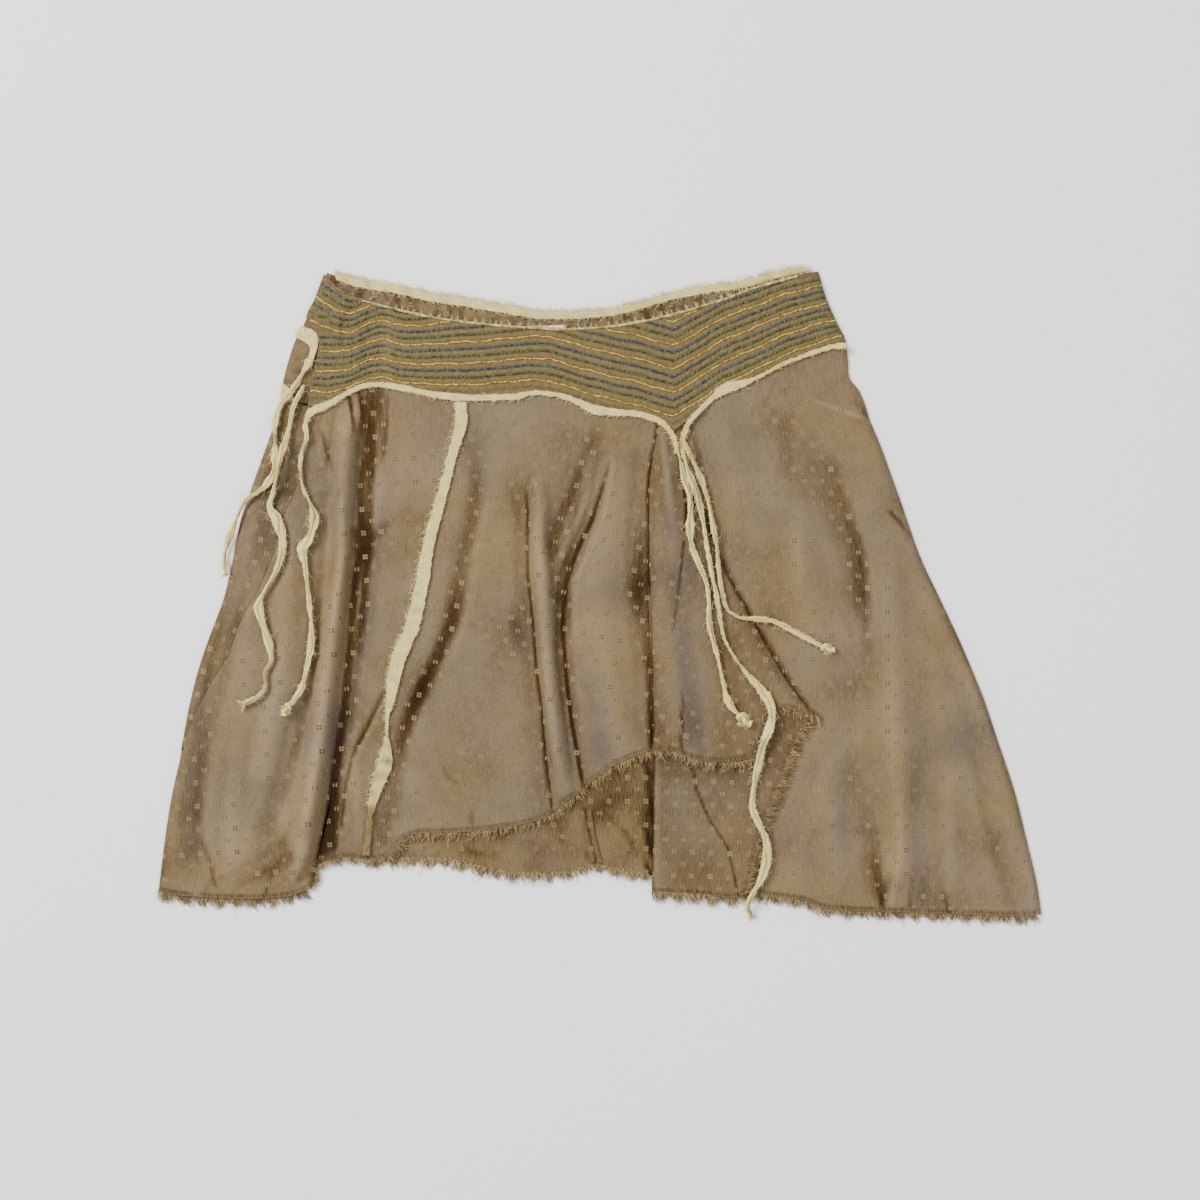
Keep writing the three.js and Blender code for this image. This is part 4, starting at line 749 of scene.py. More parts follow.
# the smaller creases, given in the same way
CREASES = folds("""
  2 2.2 -1.8: -180 -160 .3, -178.5 -180, -178 -203;
  3 3 -1: -164 -160 .3, -162 -180 .8, -160 -192 .8;
  3 3 -1.1: 258 -246, 262 -222 .5;
  3 3.5 -1.1: 288 -247, 291 -222 .5;
  3.5 6 -2.6: -189 160 .6, -187 140, -190 100, -193 60, -194 40 1.3, -198 0, -201 -40, -206 -90,
    -211 -130 .85, -217 -170 .5, -225 -205 .35;
  5 6 -1.6: -176 166, -173 140 .8, -172 116 .3;
  3 4 -1.4: -200 163, -196 146 .9, -196 128 .4;
  4 4 -.9: -210 158 .8, -214 130 .7, -219 104 .3;
  4 4 -.8: -222 152 .8, -226 128 .6, -232 100 .2;
  3 3 .9: -183 165 .8, -181 150 .8, -183 128 .2;
  5 4 -1.5: -196 42, -186 52 .8, -172 60 .4, -162 68 .1;
  3 5 -1.7: -172 -72 .6, -185 -98, -198 -125, -204 -152, -207 -182 .7;
  3 4 -1.9: -319 -193 .3, -308 -214, -315 -234;
  3 3 .9: -312 -222 .8, -322 -236, -347 -224 .6;
  3 4 -1.2: -262 -216 .5, -269 -234;
  4 5 1: -287 -232 .9, -262 -219 .8, -244 -204 .6;
  3 2.6 -1.2: -56 100 .3, -58 60, -57 10, -52 -54, -46 -105 .9, -42 -150 .5;
  3 3.5 -1.5: 2 92 .4, -4 72, -16 44 1.2, -27 16 1.3, -30 -30 1.2, -26 -75 1.1, -20 -112, -13 -144 .8;
  4 4 -1: -100 -160 .3, -97 -184;
  4 4 .8: -112 -170 .3, -107 -184 .9;
  5 5 .7: -66 -150 .2, -62 -176 .8;
  2 2 -.7: 69 91 .4, 67 46, 61 -1, 58 -21 .5;
  2.4 2.4 -.8: 66 -80 .4, 65 -121;
  6 6 .7: 80 -60 .3, 84 -95 .6, 90 -124 .8;
  4 5 1.1: 60 126 .8, 56 96, 60 60 .7, 56 20 .3;
  3 3 .9: 172 158 .5, 188 152, 200 148, 210 146 .6;
  4 4 -1: 234 68 .9, 244 58 .6, 250 44 .2;
  4 5 -1: 78 144 .9, 84 120 .6, 92 96 .1;
  4 4 .8: 96 160 .8, 98 138 .4, 104 116 .1;
  3 3 -.7: 140 172 .5, 134 156 .9, 130 146 .5;
  4 4 -1.4: 226 -245, 222 -222 .8, 222 -195 .2;
  4 4 1: 241 -246, 250 -220 .4;
  4 4 -1.1: 278 -248, 273 -228 .4;
  4 4 .9: 296 -250, 291 -230 .4;
  5 5 -1: 310 -250, 305 -226 .3;
  4 5 1.1: 338 -250, 331 -226 .9, 326 -200 .3;
  8 8 -.9: 265 -180 .3, 262 -205 .8, 258 -240 .8;
  10 10 -.8: 200 -60 .3, 204 -120 .8, 196 -180 .6;
  12 12 -1: 252 -20 .4, 262 -80 .8, 272 -150 .6;
  10 10 .9: 280 -70 .4, 294 -130 .8, 304 -190 .6;
  12 12 .8: -86 140 .2, -78 100 .7, -84 50 .5;
  10 10 .9: -150 130 .3, -158 80 .7, -166 20 .6, -176 -40 .4;
  14 14 .9: -90 20 .3, -92 -40 .8, -96 -110 .5;
  12 12 -.8: -120 -90 .3, -118 -140 .7;
  10 12 1.1: -272 20 .3, -282 -60 .7, -292 -140 .7, -296 -200 .5""")
# painted shade, dark brown, where the satin's folds and hollows lie in shade, and painted lilac sheen
# where it faces the light
PAINTED_SHADE_AND_SHEEN = folds("""
  3 14 -.4: -190 84 .4, -188 40 .9, -190 0 .9, -196 -40 .9, -202 -92 .6;
  12 9 -.42: -167 -118 .3, -170 -150, -172 -192;
  9 8 .24: -243 -66 .3, -249 -108, -258 -142 .5;
  20 16 .34: -254 -50 .2, -262 -90 .9, -272 -140, -284 -190 .8, -290 -222 .3;
  7 7 .25: -300 -30 .2, -308 -60 .9, -318 -100 .4;
  5 6 -.6: -184 165 .7, -183 130 .8, -184 90, -186 50, -188 10 .8, -193 -40 .5;
  6 6 .34: -216 60 .3, -219 10 .9, -222 -40 .9, -228 -90 .4;
  7 9 -.6: -112 4 .2, -130 -44 .8, -149 -84, -159 -114, -162 -142 .8, -163 -172 .5;
  8 4 -.34: -14 112 .3, -20 70 .8, -26 30 .8, -24 -20 .9, -20 -62 .5;
  6 6 .3: -37 -66 .2, -33 -110, -27 -148 .8;
  5 2 -.5: 39 22 .3, 38 -30 .8, 39.5 -80, 41 -120 .8;
  8 7 -.42: 186 112 .3, 198 72 .9, 209 38, 213 0, 214 -42 .4;
  11 11 .26: 248 44 .2, 266 -16, 288 -52 .8, 306 -92 .7;
  11 9 .36: 274 -126 .2, 278 -180, 280 -228 .9;
  7 8 -.34: -314 -70 .2, -318 -120 .8, -322 -170 .9, -321 -208 .4;
  4 5 .5: -228 -180 .4, -236 -203, -246 -222 .8;
  9 9 .34: -290 -120 .3, -294 -160 .8, -296 -215 .6;
  6 7 -.62: -210 -116 .3, -213 -150 .9, -214 -196;
  9 8 -.55: 222 -190 .2, 221 -214, 225 -238;
  4 5 .42: 238 -150 .3, 239 -200, 233 -242""")
# left gore: painted shade in the tucks, brown in the pleat and dark on its floor, a painted sheen on the
# ridge beside it, painted shade in the slanting trough
PAINTED_SHADE_AND_SHEEN += folds("""
  2.5 3 -.9: -201 163 .9, -199 152, -197 140 .6, -196 128 0;
  2.5 4 -.8: -193 166 .8, -190 150, -191 136 .5, -192 120 0;
  20.8 13 -.51: -179 170 .8, -178 150, -178 128 .9, -182 108 .5, -186 92 .1;
  3 2.5 -.5: -170 164 .6, -170 140, -172 120 .7, -176 106 0;
  11.7 11.7 .26: -176 104 .2, -176 90 .8, -178 74 .5, -180 60 0;
  3 6 -.9: -190 110 .3, -193 90 .8, -192 66, -190 44 1.3, -195 26, -198 0 .9, -201 -40 .9, -206 -90,
    -212 -130, -218 -170 1.1, -225 -205, -231 -228 .6;
  11.7 13 -.85: -191 52, -189 38;
  5 5 -.7: -188 44, -178 52 .7, -166 64 .2;
  7.8 10.4 -.42: -206 -95 .4, -211 -130 .9, -214 -165, -219 -200;
  9.1 6.5 .36: -204 60 .2, -207 20 .6, -212 -40 .7, -220 -100 .8, -230 -160 .9, -239 -200 .6;
  10.4 8 -.3: -212 62 .3, -211 40 .8, -216 20, -224 -10, -230 -50 .8, -240 -100 .9, -252 -145 .9,
    -264 -175 .3;
  3 4 -.5: -223 135 .7, -219 120, -214 105 .3;
  3 3 -.35: -213 128 .3, -218 112 .7;
  3 4 -.4: -212 70 .3, -208 84 .6, -206 98 .1;
  13 13 .21: -247 60 .1, -246 20 .5, -250 -40 .5, -256 -90 .1;
  10.4 9.1 .38: -262 -150 .1, -250 -180 .7, -238 -198;
  16 13 -.26: -330 -125 .2, -330 -165, -328 -200 .8, -318 -224 .3;
  7.8 10.4 -.47: -285 -227 .3, -262 -217 .8, -248 -207 .9, -240 -197 .2;
  2.5 3 -.6: -320 -190 .1, -312 -212 .8, -308 -229;
  2.5 2.5 -.5: -267 -234, -262 -220 .5;
  4 6 -.3: -336 -120 .3, -345 -170 .8, -352 -225 .8;
  2 3 -.6: -172 -72 .5, -185 -98 .8, -198 -125 .8, -204 -150 .7, -207 -180 .5;
  5 6 .3: -196 -120 .3, -196 -150 .8, -193 -185 .7""")
# side gore: a streak of painted lilac sheen down its middle
PAINTED_SHADE_AND_SHEEN += folds("""
  9 8 .3: -272 90 .1, -281 57, -290 10, -300 -25 .8, -314 -64 .1;
  6 6 -.25: -250 150 .4, -262 112 .6, -274 76 .2""")
# centre gore: the painted slanting shade beside the trim, painted shade in two creases with painted sheen on
# a ridge between, the painted shade by the godet
PAINTED_SHADE_AND_SHEEN += folds("""
  9.1 13 -.49: -94 118 .1, -99 100 .6, -101 80 .9, -104 60 .7, -110 30 .7, -117 0 .9, -122 -25 1.1,
    -136 -58 1.2, -152 -88, -163 -115 .3;
  9.1 3 -.36: -70 92 .1, -63 60 .6, -61 20 .6, -58 -30 .5, -54 -80 .3;
  2 1.8 -.85: -60 90 .1, -58 70, -58 23, -54 -15 .9, -51 -54 .9, -47 -85 .9, -44 -123 .9, -38 -171 .8;
  6.5 9.1 .31: -52 82 0, -50 50 .7, -46 0 .9, -43 -50, -37 -105, -31 -150 .3;
  10.4 11.7 -.56: 2 152 .2, -8 118 .7, -20 88 .9, -33 62 1.1, -38 48 1.1, -38 28 .9, -35 4 .7;
  4 5 .32: 4 112 0, -8 84 .8, -20 60 .7, -27 44 0;
  2.8 2.2 -.95: 8 110 .1, 2 90 .8, -7 62, -18 40 1.1, -27 12 1.2, -30 -20 1.2, -27 -60 1.1, -22 -100,
    -15 -142, -13 -149 .9;
  9.1 2 -.42: -12 56 .3, -24 30 .8, -31 0, -32 -40 .9, -28 -84 .4;
  7.8 18.2 .22: 18 112 0, 4 66 .6, -8 40 .8, -18 10 .8, -20 -30 .8, -16 -70 .8, -8 -112 .4;
  18 16 .12: 6 -40 .1, 8 -80 .9, 14 -115 .8;
  13 7.8 -.58: 34 92 0, 33 50 .6, 32 20 1.1, 31 2 1.2, 34 -22 .6, 37 -55 .2;
  3 1.5 -.75: 46 140 .9, 41 112, 38.5 90 .9, 38.5 50 .8, 39 0 .8, 41 -50 .9, 42 -118 .9;
  9.1 7.8 -.42: -68 -4 .2, -68 -20, -64 -38 .3;
  2.5 2.5 -.5: -105 -182, -102 -168 .5;
  2.5 2.5 -.35: -125 -134 .3, -121 -142 .9, -114 -147 .3;
  13 10.4 .13: -140 118 .1, -146 70 .5, -158 0 .3""")
# godet: painted lilac sheen where it faces up, painted shade on its seamed lines, painted brown shade along
# its free edge
PAINTED_SHADE_AND_SHEEN += folds("""
  4 5 .4: 50 134 .8, 52 110, 55 80, 58 50 .7, 58 30 .1;
  1.7 1.9 -.8: 62 122 .6, 67 90 .9, 69 72, 67 46, 62 0 .9, 58 -24 .3;
  9 9 .22: 57 -6 .1, 58 -50 .9, 60 -102;
  1.7 1.7 -.65: 66 -66 .2, 65.5 -95, 65 -121;
  10 10 .16: 80 -66 .1, 84 -95 .8, 92 -118 .5;
  7.8 10.4 -.24: 88 4 .1, 98 -40 .8, 108 -84 .8;
  10.4 2 -.3: 100 24 .3, 122 -18 .7, 146 -58 .8, 164 -84 .5;
  9 9 .26: 58 44 .2, 64 20 .9, 66 -4 .4""")
# right gore: painted shade beside the godet, a long band of painted brown shade, painted lilac sheen streaks,
# painted shade in the hollows above the hem
PAINTED_SHADE_AND_SHEEN += folds("""
  2 6 -.75: 80 84 .3, 93 38 .9, 108 8, 123 -18, 149 -62, 168 -90 .8;
  3 6 -.55: 72 142 .8, 78 118 .9, 82 96 .5, 84 74 0;
  5 4 .25: 100 160 .4, 101 140 .5, 104 116 0;
  10.4 10.4 -.14: 150 156 .2, 151 132 .9, 150 108 .9, 150 88 .1;
  13 13 -.3: 176 126 .1, 182 104 .6, 187 80, 196 52 1.1, 205 26 1.2, 208 0, 209 -20 .2;
  5 5 -.2: 200 40 .2, 204 14, 206 -12 .8;
  7.8 9.1 .27: 104 100 0, 104 76 .7, 107 48 .2;
  9.1 9.1 .34: 158 88 0, 157 56 .8, 158 28 .7, 160 2 .1;
  9.1 13 .27: 226 66 0, 229 20 .6, 231 -30 .8, 233 -90 .9, 236 -150 .9, 240 -200 .8, 244 -238 .3;
  11.7 11.7 .19: 262 -30 0, 268 -90 .6, 262 -150 .6, 262 -205 .5;
  17 15 -.3: 196 -100 0, 206 -160 .5, 216 -200, 220 -228 .9;
  11.7 10.4 .26: 184 -170 .1, 190 -210 .6, 186 -236 .4;
  14 13 -.36: 300 -160 0, 316 -200 .7, 326 -222, 330 -242 .6;
  10.4 10.4 -.15: 250 -50 0, 256 -110 .4, 250 -170 .2;
  9.1 9.1 -.17: 120 20 .1, 136 -10 .6, 150 -30 .3;
  5 6 .38: 338 -186 .1, 344 -220 .9, 347 -244 .7;
  4 5 -.45: 225 124 .2, 257 34 .7, 288 -32 .7, 319 -113 .7, 342 -192 .7, 353 -240 .6;
  4 4 -.35: 202 160 .6, 212 150 .9, 219 138 .4;
  1.8 3 .55: 168 160 .2, 186 154 .8, 202 148 .9, 214 144 .4;
  3 3 -.6: 232 70 .8, 240 62 .9, 248 50 .2;
  2.2 2.2 -.75: 226 -248, 223 -226 .4;
  6 3 -.45: 236 -214 .1, 228 -234 .8, 226 -248;
  1.8 1.8 -.7: 279 -250, 275 -232 .2;
  1.8 1.8 -.65: 298 -252, 293 -236 .2;
  2.2 2 -.5: 252 -212 .1, 249 -224 .8, 248 -246 .9""")
waist_line = [p for part in waist for p in part]
hem_line = [*hem_left, *hem_pleat, *(p for part in hem_centre for p in part), *hem_godet]
left_outline = [(-221, 262), (-229, 240), (-238, 220), (-244, 209), (-252, 185), (-256, 160), *left_edge,
    *left_edge_low[1:]]
right_outline = [*yoke_right, *right_edge[1:]]
tie_plan = [[(p[0] * 1000, p[1] * 1000) for p in tie["route"]] for tie in TIES.values()]


def rolled(x, y):
    """0 at the side edges, 1 where the cloth has turned over to the front."""
    d = np.minimum(nearest(left_outline, x, y)[0], nearest(right_outline, x, y)[0])
    return np.sqrt(1 - (1 - np.minimum(d / 12, 1)) ** 2)


def loose(x, y):
    """0 along a seam that holds the cloth down, 1 away from it."""
    return ramp((nearest(waist_line, x, y)[0] - 8) / 28) * ramp((nearest(front_seam, x, y)[0] - 12) / 22)


def kept_up(h):
    """Softly keeps a height above zero."""
    return np.log(1 + np.exp(1.6 * h)) / 1.6


def fuller(x, y):
    """How freely the cloth may stand above its frame: not under a tie, which presses it down."""
    d = np.full(x.shape, 1e9)
    for route in tie_plan:
        d = np.minimum(d, nearest(route, x, y)[0])
    return ramp((d - 2.5) / 9)


def front_height(x, y, hem):
    """Height of the left, centre and side gores' upper face, in mm."""
    low = 0.35 + 0.65 * ramp(nearest(hem, x, y)[0] / 40)
    big = strokes(FOLDS, x, y)
    small = strokes(CREASES, x, y) + 0.18 * crumple(x, y, 22, 2) + 0.06 * crumple(x, y, 9, 4)
    slack = loose(x, y)
    frame_height = LOW + rolled(x, y) * kept_up(SEAM - LOW + slack * (1.0 + big)) * low
    held = ramp((nearest(waist_line, x, y)[0] - 1.5) / 9)
    full = fuller(x, y)
    more = rolled(x, y) * full * (0.75 * slack * np.maximum(big, -1.5) + held * small)
    return np.maximum(frame_height + more, 2.45) + CLOTH - 0.75


def hung_over(x, y, top, edge, reach=5.0, drop=1.6):
    """Turns the cloth down where it passes over the side of the skirt."""
    d = nearest(edge, x, y)[0]
    return top - drop * (1 - np.minimum(d / reach, 1)) ** 2


def even_gore(rails, uppers, lowers, rows, counts):
    """A gore's grid from its lines, with its rows and columns closer together than the frame's."""
    return gore([smooth_line(r, rows) for r in rails], [smooth_line(u, n) for u, n in zip(uppers, counts)],
        [smooth_line(w, n) for w, n in zip(lowers, counts)])


def tone_of(x, y, extra=0.0):
    """The satin's painted shade from its folds and its painted sheen, kept soft at both ends."""
    t = 0.03 + 0.05 * strokes(FOLDS, x, y) + 0.10 * strokes(CREASES, x, y) + strokes(PAINTED_SHADE_AND_SHEEN, x, y) + extra
    return np.where(t < 0, -0.95 * np.tanh(-t / 0.95), 0.9 * np.tanh(t / 0.9))


GAP, THIN, LEAST = 0.15, 0.8, 1.55  # mm: half the gap at a seam, a gore's thickness, its least height


def front_gore(name, grid, node, lean, edge, least=LEAST, extra=0.0):
    """A gore of the front that lies on the back alone: its upper face's height and its wall."""
    x, y = grid[..., 0], grid[..., 1]
    top = front_height(x, y, hem_line)
    top = hung_over(x, y, top, edge, 6, 2.0) if edge else top
    tone = tone_of(x, y, extra)
    return top, wall(name, grid, top, np.maximum(top - THIN, least), satin, tone, lean, node)


rail_left = [*side_seam, *left_edge_low[1:]]
grid_left = even_gore([rail_left, pleat, front_seam], waist[:2], [hem_left, hem_pleat], 190, [60, 46])
grid_left = drawn_in(grid_left, GAP, GAP, GAP)
top_left, cloth_left = front_gore("cloth_front_left", grid_left, "front_gore_left", -4, left_edge_low)

rails = [front_seam, crease_one, crease_two, godet_seam]
grid_centre = drawn_in(even_gore(rails, waist[2:5], hem_centre, 176, [42, 34, 32]), GAP, GAP, GAP)
top_centre, cloth_centre = front_gore("cloth_front_centre", grid_centre, "front_gore_centre", 12, None, 1.9)

upper_edge = smooth_line(left_edge, 120)
grid_side = gore([upper_edge, smooth_line(side_seam, 120)], [smooth_line([(-256, 157), (-234, 155)], 16)],
    [np.linspace(upper_edge[-1], (-334, -119), 16)])
grid_side = drawn_in(grid_side, 0, GAP)
cloth_side = front_gore("cloth_side_left", grid_side, "side_gore_left", 16, left_edge, LEAST, -0.30)[1]

grid_godet = even_gore([godet_seam, godet_edge], [waist[5]], [hem_godet], 120, [52])
grid_godet = drawn_in(grid_godet, GAP, GAP, GAP)
x, y = grid_godet[..., 0], grid_godet[..., 1]
raised = SEAM + (OVER - SEAM) * ramp((-y - 40) / 28) + loose(x, y) * 0.7 * np.maximum(0, strokes(FOLDS, x, y))
edge_near = ramp(nearest(godet_edge, x, y)[0] / 7)
creased = 0.8 * strokes(CREASES, x, y) + 0.15 * crumple(x, y, 24, 8)
top_godet = raised + CLOTH - 0.35 + fuller(x, y) * (0.9 * edge_near * loose(x, y) + creased)
top_godet = top_godet - 0.5 * (1 - edge_near)
cloth_godet = wall("cloth_godet", grid_godet, top_godet, np.maximum(top_godet - THIN, raised + 0.05), satin,
    tone_of(x, y, -0.22), 16, "godet")

grid_right = even_gore([right_hidden, right_middle, right_edge], waist[6:], hem_right, 190, [56, 56])
grid_right = drawn_in(grid_right, GAP, 0, GAP)
x, y = grid_right[..., 0], grid_right[..., 1]
low = 0.35 + 0.65 * ramp(nearest(hem_right[0] + hem_right[1], x, y)[0] / 30)
d, side, _ = nearest(godet_edge + slit[1:], x, y)
bare = np.where(side > 0, ramp((d - 22) / 18), 0)
free_of = np.where(side > 0, ramp((d - 3) / 14), 0)
big = strokes(FOLDS, x, y)
small = strokes(CREASES, x, y) + 0.18 * crumple(x, y, 26, 12) + 0.06 * crumple(x, y, 9, 14)
top_right = LOW + rolled(x, y) * bare * kept_up(SEAM - LOW + loose(x, y) * (1.0 + big)) * low
held = ramp((nearest(waist_line, x, y)[0] - 1.5) / 9) * small
sagging = 0.75 * loose(x, y) * bare * np.maximum(big, -1.5)
top_right += rolled(x, y) * fuller(x, y) * free_of * (sagging + held)
top_right = np.maximum(top_right, 2.2 - 0.4 * (1 - free_of)) + CLOTH - 0.75
top_right = hung_over(x, y, top_right, right_edge, 6, 2.0)
cloth_right = wall("cloth_front_right", grid_right, top_right, np.maximum(top_right - THIN, LEAST), satin,
    tone_of(x, y), 0, "front_gore_right")

grid_under = even_gore([underlay_fold, underlay_rise, slit], [places("43 -100, 70 -103, 104 -103"),
    places("104 -103, 124 -96, 138 -80, 152 -77, 168 -91")],
    [places("41.5 -234, 60 -235, 80 -236, 100 -238"), places("100 -238, 109 -238, 117 -235")], 76, [30, 18])
x, y = grid_under[..., 0], grid_under[..., 1]
d, side, _ = nearest(underlay_rise, x, y)
step = np.where(side > 0, 1, ramp(1 - d / 14))
raised = LOW + (SEAM - LOW) * step
seam_dip = strokes(folds("""
  1.8 1.8 -1: 73 -128 .6, 77 -151, 84 -168, 89 -178, 102 -198, 107 -218, 111 -238"""), x, y)
roll = np.exp(-((x - 45) / 3.0) ** 2)
visible = ramp((-y - 108) / 12)
dip = 0.45 * np.exp(-nearest(underlay_fold, x, y)[0] ** 2)
softly = 0.28 * crumple(x, y, 26, 21) * (1 - 0.6 * step)
top_under = raised + CLOTH - 0.55 + visible * (0.5 * seam_dip + 0.45 * roll + softly) - dip
# painted shade along the seam's dip, a painted highlight on the roll and a painted shadow line beside the
# fold; the underlay is also darker towards the top
under_tone = tone_of(x, y, -0.16) + 0.5 * seam_dip + 0.3 * roll - 0.3 * ramp((y + 190) / 60)
under_tone = under_tone - 0.9 * np.exp(-((x - 42.2) / 1.3) ** 2)
cloth_under = wall("cloth_underlay", grid_under, top_under, np.maximum(top_under - 0.75, raised + 0.05),
    satin, under_tone, 2, "underlay_gore")

# ---- Stitched yoke ----
# A band of the same satin, faced and puckered by rows of twisted thread 6 mm apart that follow its lower edge
# and meet in a point. Yellow, green and blue follow one another from the bottom up.
yoke_top = [places("-221 261, -214 254, -198 243, -190 241"),
    places("-190 241, -175 238, -163 233, -150 230, -130 226, -111 223"),
    places("-111 223, -90 221, -70 219, -52 218"), places("-52 218, -28 217, 4 219"),
    places("4 219, 20 221, 46 226"), places("46 226, 52 227, 59 229"),
    places("59 229, 69 231, 98 241, 122 250"), places("122 250, 147 257, 175 263")]
row_x = [-236, -228, -218, -208, -200, -193, -185, -177, -170, -163, -155, -145, -130, -112, -95, -80, -55,
    -40, -30, -15, 0, 15, 30, 45, 59, 66, 80, 98, 122, 148, 175, 196]
row_y = [166, 167, 166, 168, 170, 174, 177, 178, 177.5, 175, 174, 173, 172.5, 172, 172.5, 174, 176, 175, 172,
    167, 163, 159, 156, 151, 147, 151, 160, 172, 183, 196, 206, 212]
gap_x = [-236, -228, -218, -205, -195, -185, -175, -155, -130, -112, -60, -40, 0, 30, 59, 80, 98, 148, 196]
gap_y = [5.3, 5.4, 5.5, 5.06, 4.75, 4.85, 5.1, 5.0, 5.4, 5.7, 5.8, 5.9, 6.1, 6.2, 6.3, 6.1, 5.95, 5.4, 4.7]


def row_height(x, row):
    """How far up a row of stitches runs at a place across the yoke; mm."""
    lifted = 0.0145 * np.maximum(0, -206 + 2 * (row - 9) - x) ** 2 if row >= 9 else 0.0
    return np.interp(x, row_x, row_y) + row * np.interp(x, gap_x, gap_y) + lifted


def yoke_face(x, y):
    """Height of the yoke's upper face without its puckers; mm."""
    return LOW + rolled(x, y) * (SEAM - LOW) + CLOTH


top_ends = [yoke_top[0][0], *(part[-1] for part in yoke_top)]
low_ends = [waist[0][0], *(part[-1] for part in waist)]
counts = [32, 56, 40, 40, 30, 12, 44, 54]
between = [np.linspace(a, b, 52) for a, b in zip(top_ends[1:-1], low_ends[1:-1])]
uppers, lowers = ([smooth_line(p, n) for p, n in zip(parts, counts)] for parts in (yoke_top, waist))
grid_yoke = gore([smooth_line(yoke_left, 52), *between, smooth_line(yoke_right, 52)], uppers, lowers)
grid_yoke = drawn_in(grid_yoke, 0, 0, 0, 0.15)
x, y = grid_yoke[..., 0], grid_yoke[..., 1]
base = np.interp(x, row_x, row_y)
turns = (y - base) / np.interp(x, gap_x, gap_y)
puff = np.abs(np.sin(np.pi * turns)) ** 0.7
waves = np.sin(x * 2.0 + 2.6 * np.sin(y * 0.55 + x * 0.05) + turns * 2.4)
pucker = 0.45 * waves * (0.6 + 0.4 * crumple(x, y, 12, 35)) + 0.25 * crumple(x, y, 4.5, 31)
dents = strokes(folds("""
  4 5 -.9: -199 236 .8, -205 222, -208 205 .7;
  7 8 .7: -166 232 .7, -170 200 .9, -168 178 .6;
  6 6 -.5: -184 240 .5, -188 210 .7, -190 182 .5;
  10 10 .4: -8 215 .5, -2 190 .6, 2 160 .5"""), x, y)
top_yoke = yoke_face(x, y) + rolled(x, y) * (0.7 * (puff - 0.5) + 0.62 * pucker * puff + 0.8 * dents)
top_yoke = hung_over(x, y, top_yoke, yoke_right)

# Satin faced with cotton, fuzzy from needling: dull tan with olive and gold hairs of the thread all over it.
needled, add, surface = new_material("hand-stitched satin, faced")
grain = add("UVMap", uv_map="grain")
tone = add("Attribute", attribute_name="shade").outputs["Fac"]
# hairs 0.5 mm apart, each about 3 mm long, across the rows
stretched = add("Mapping", Vector=grain, Scale=(1500, 380, 1))
hair = add("TexNoise", Vector=stretched, Scale=1.0, Detail=3.0)
speck = add("TexNoise", Vector=grain, Scale=520.0, Detail=2.0)
tone = add("MapRange", tone, -1.0, 1.0)
colour = add("ValToRGB", Fac=tone, stops=((0, "#33260F"), (1, "#7F6A45"), (0.5, "#5D4D33")))
mossy = add("MapRange", speck, 0.47, 0.66, To_Max=0.5)
colour = add("Mix", mossy, colour, "#545029", data_type="RGBA")
gold = add("MapRange", hair, 0.50, 0.68, To_Max=0.4)
colour = add("Mix", gold, colour, "#826D3A", data_type="RGBA")
relief = add("Bump", Strength=0.7, Distance=0.0007, Height=hair)
relief = add("Bump", Strength=0.5, Distance=0.0008, Height=speck, Normal=relief)
add("BsdfPrincipled", Base_Color=colour, Roughness=0.78, Specular_IOR_Level=0.2, Normal=relief, to=surface)
# painted shade and highlight following the puffs, puckers and dents: darker in the sunk stitch lines and
# hollows, lighter on the puffs, over a tone that varies at random
tone = 0.9 * (puff - 0.62) + 0.9 * pucker * puff + 0.25 * crumple(x, y, 8, 33) + 0.4 * dents
cloth_yoke = wall("cloth_front_yoke", grid_yoke, top_yoke, np.maximum(yoke_face(x, y) - 1.4, 0.6), needled,
    tone, 0, "front_yoke")


def thread_material(name, low, middle, high, rough=0.6):
    """Twisted thread: each stitch in its own tint, a little light on the twist."""
    material, add, surface = new_material(name)
    tone = add("Attribute", attribute_name="shade").outputs["Fac"]
    place = add("TexCoord").outputs["Object"]
    tone = add("MapRange", tone, -1.0, 1.0)
    colour = add("ValToRGB", Fac=tone, stops=((0, low), (1, high), (0.5, middle)))
    # fibres of the thread, about 0.15 mm, drawn at 0.5 mm
    fibre = add("TexNoise", Vector=place, Scale=2000.0, Detail=1.0)
    relief = add("Bump", Strength=0.4, Distance=0.0002, Height=fibre)
    add("BsdfPrincipled", Base_Color=colour, Roughness=rough, Specular_IOR_Level=0.3, Normal=relief,
        to=surface)
    return material


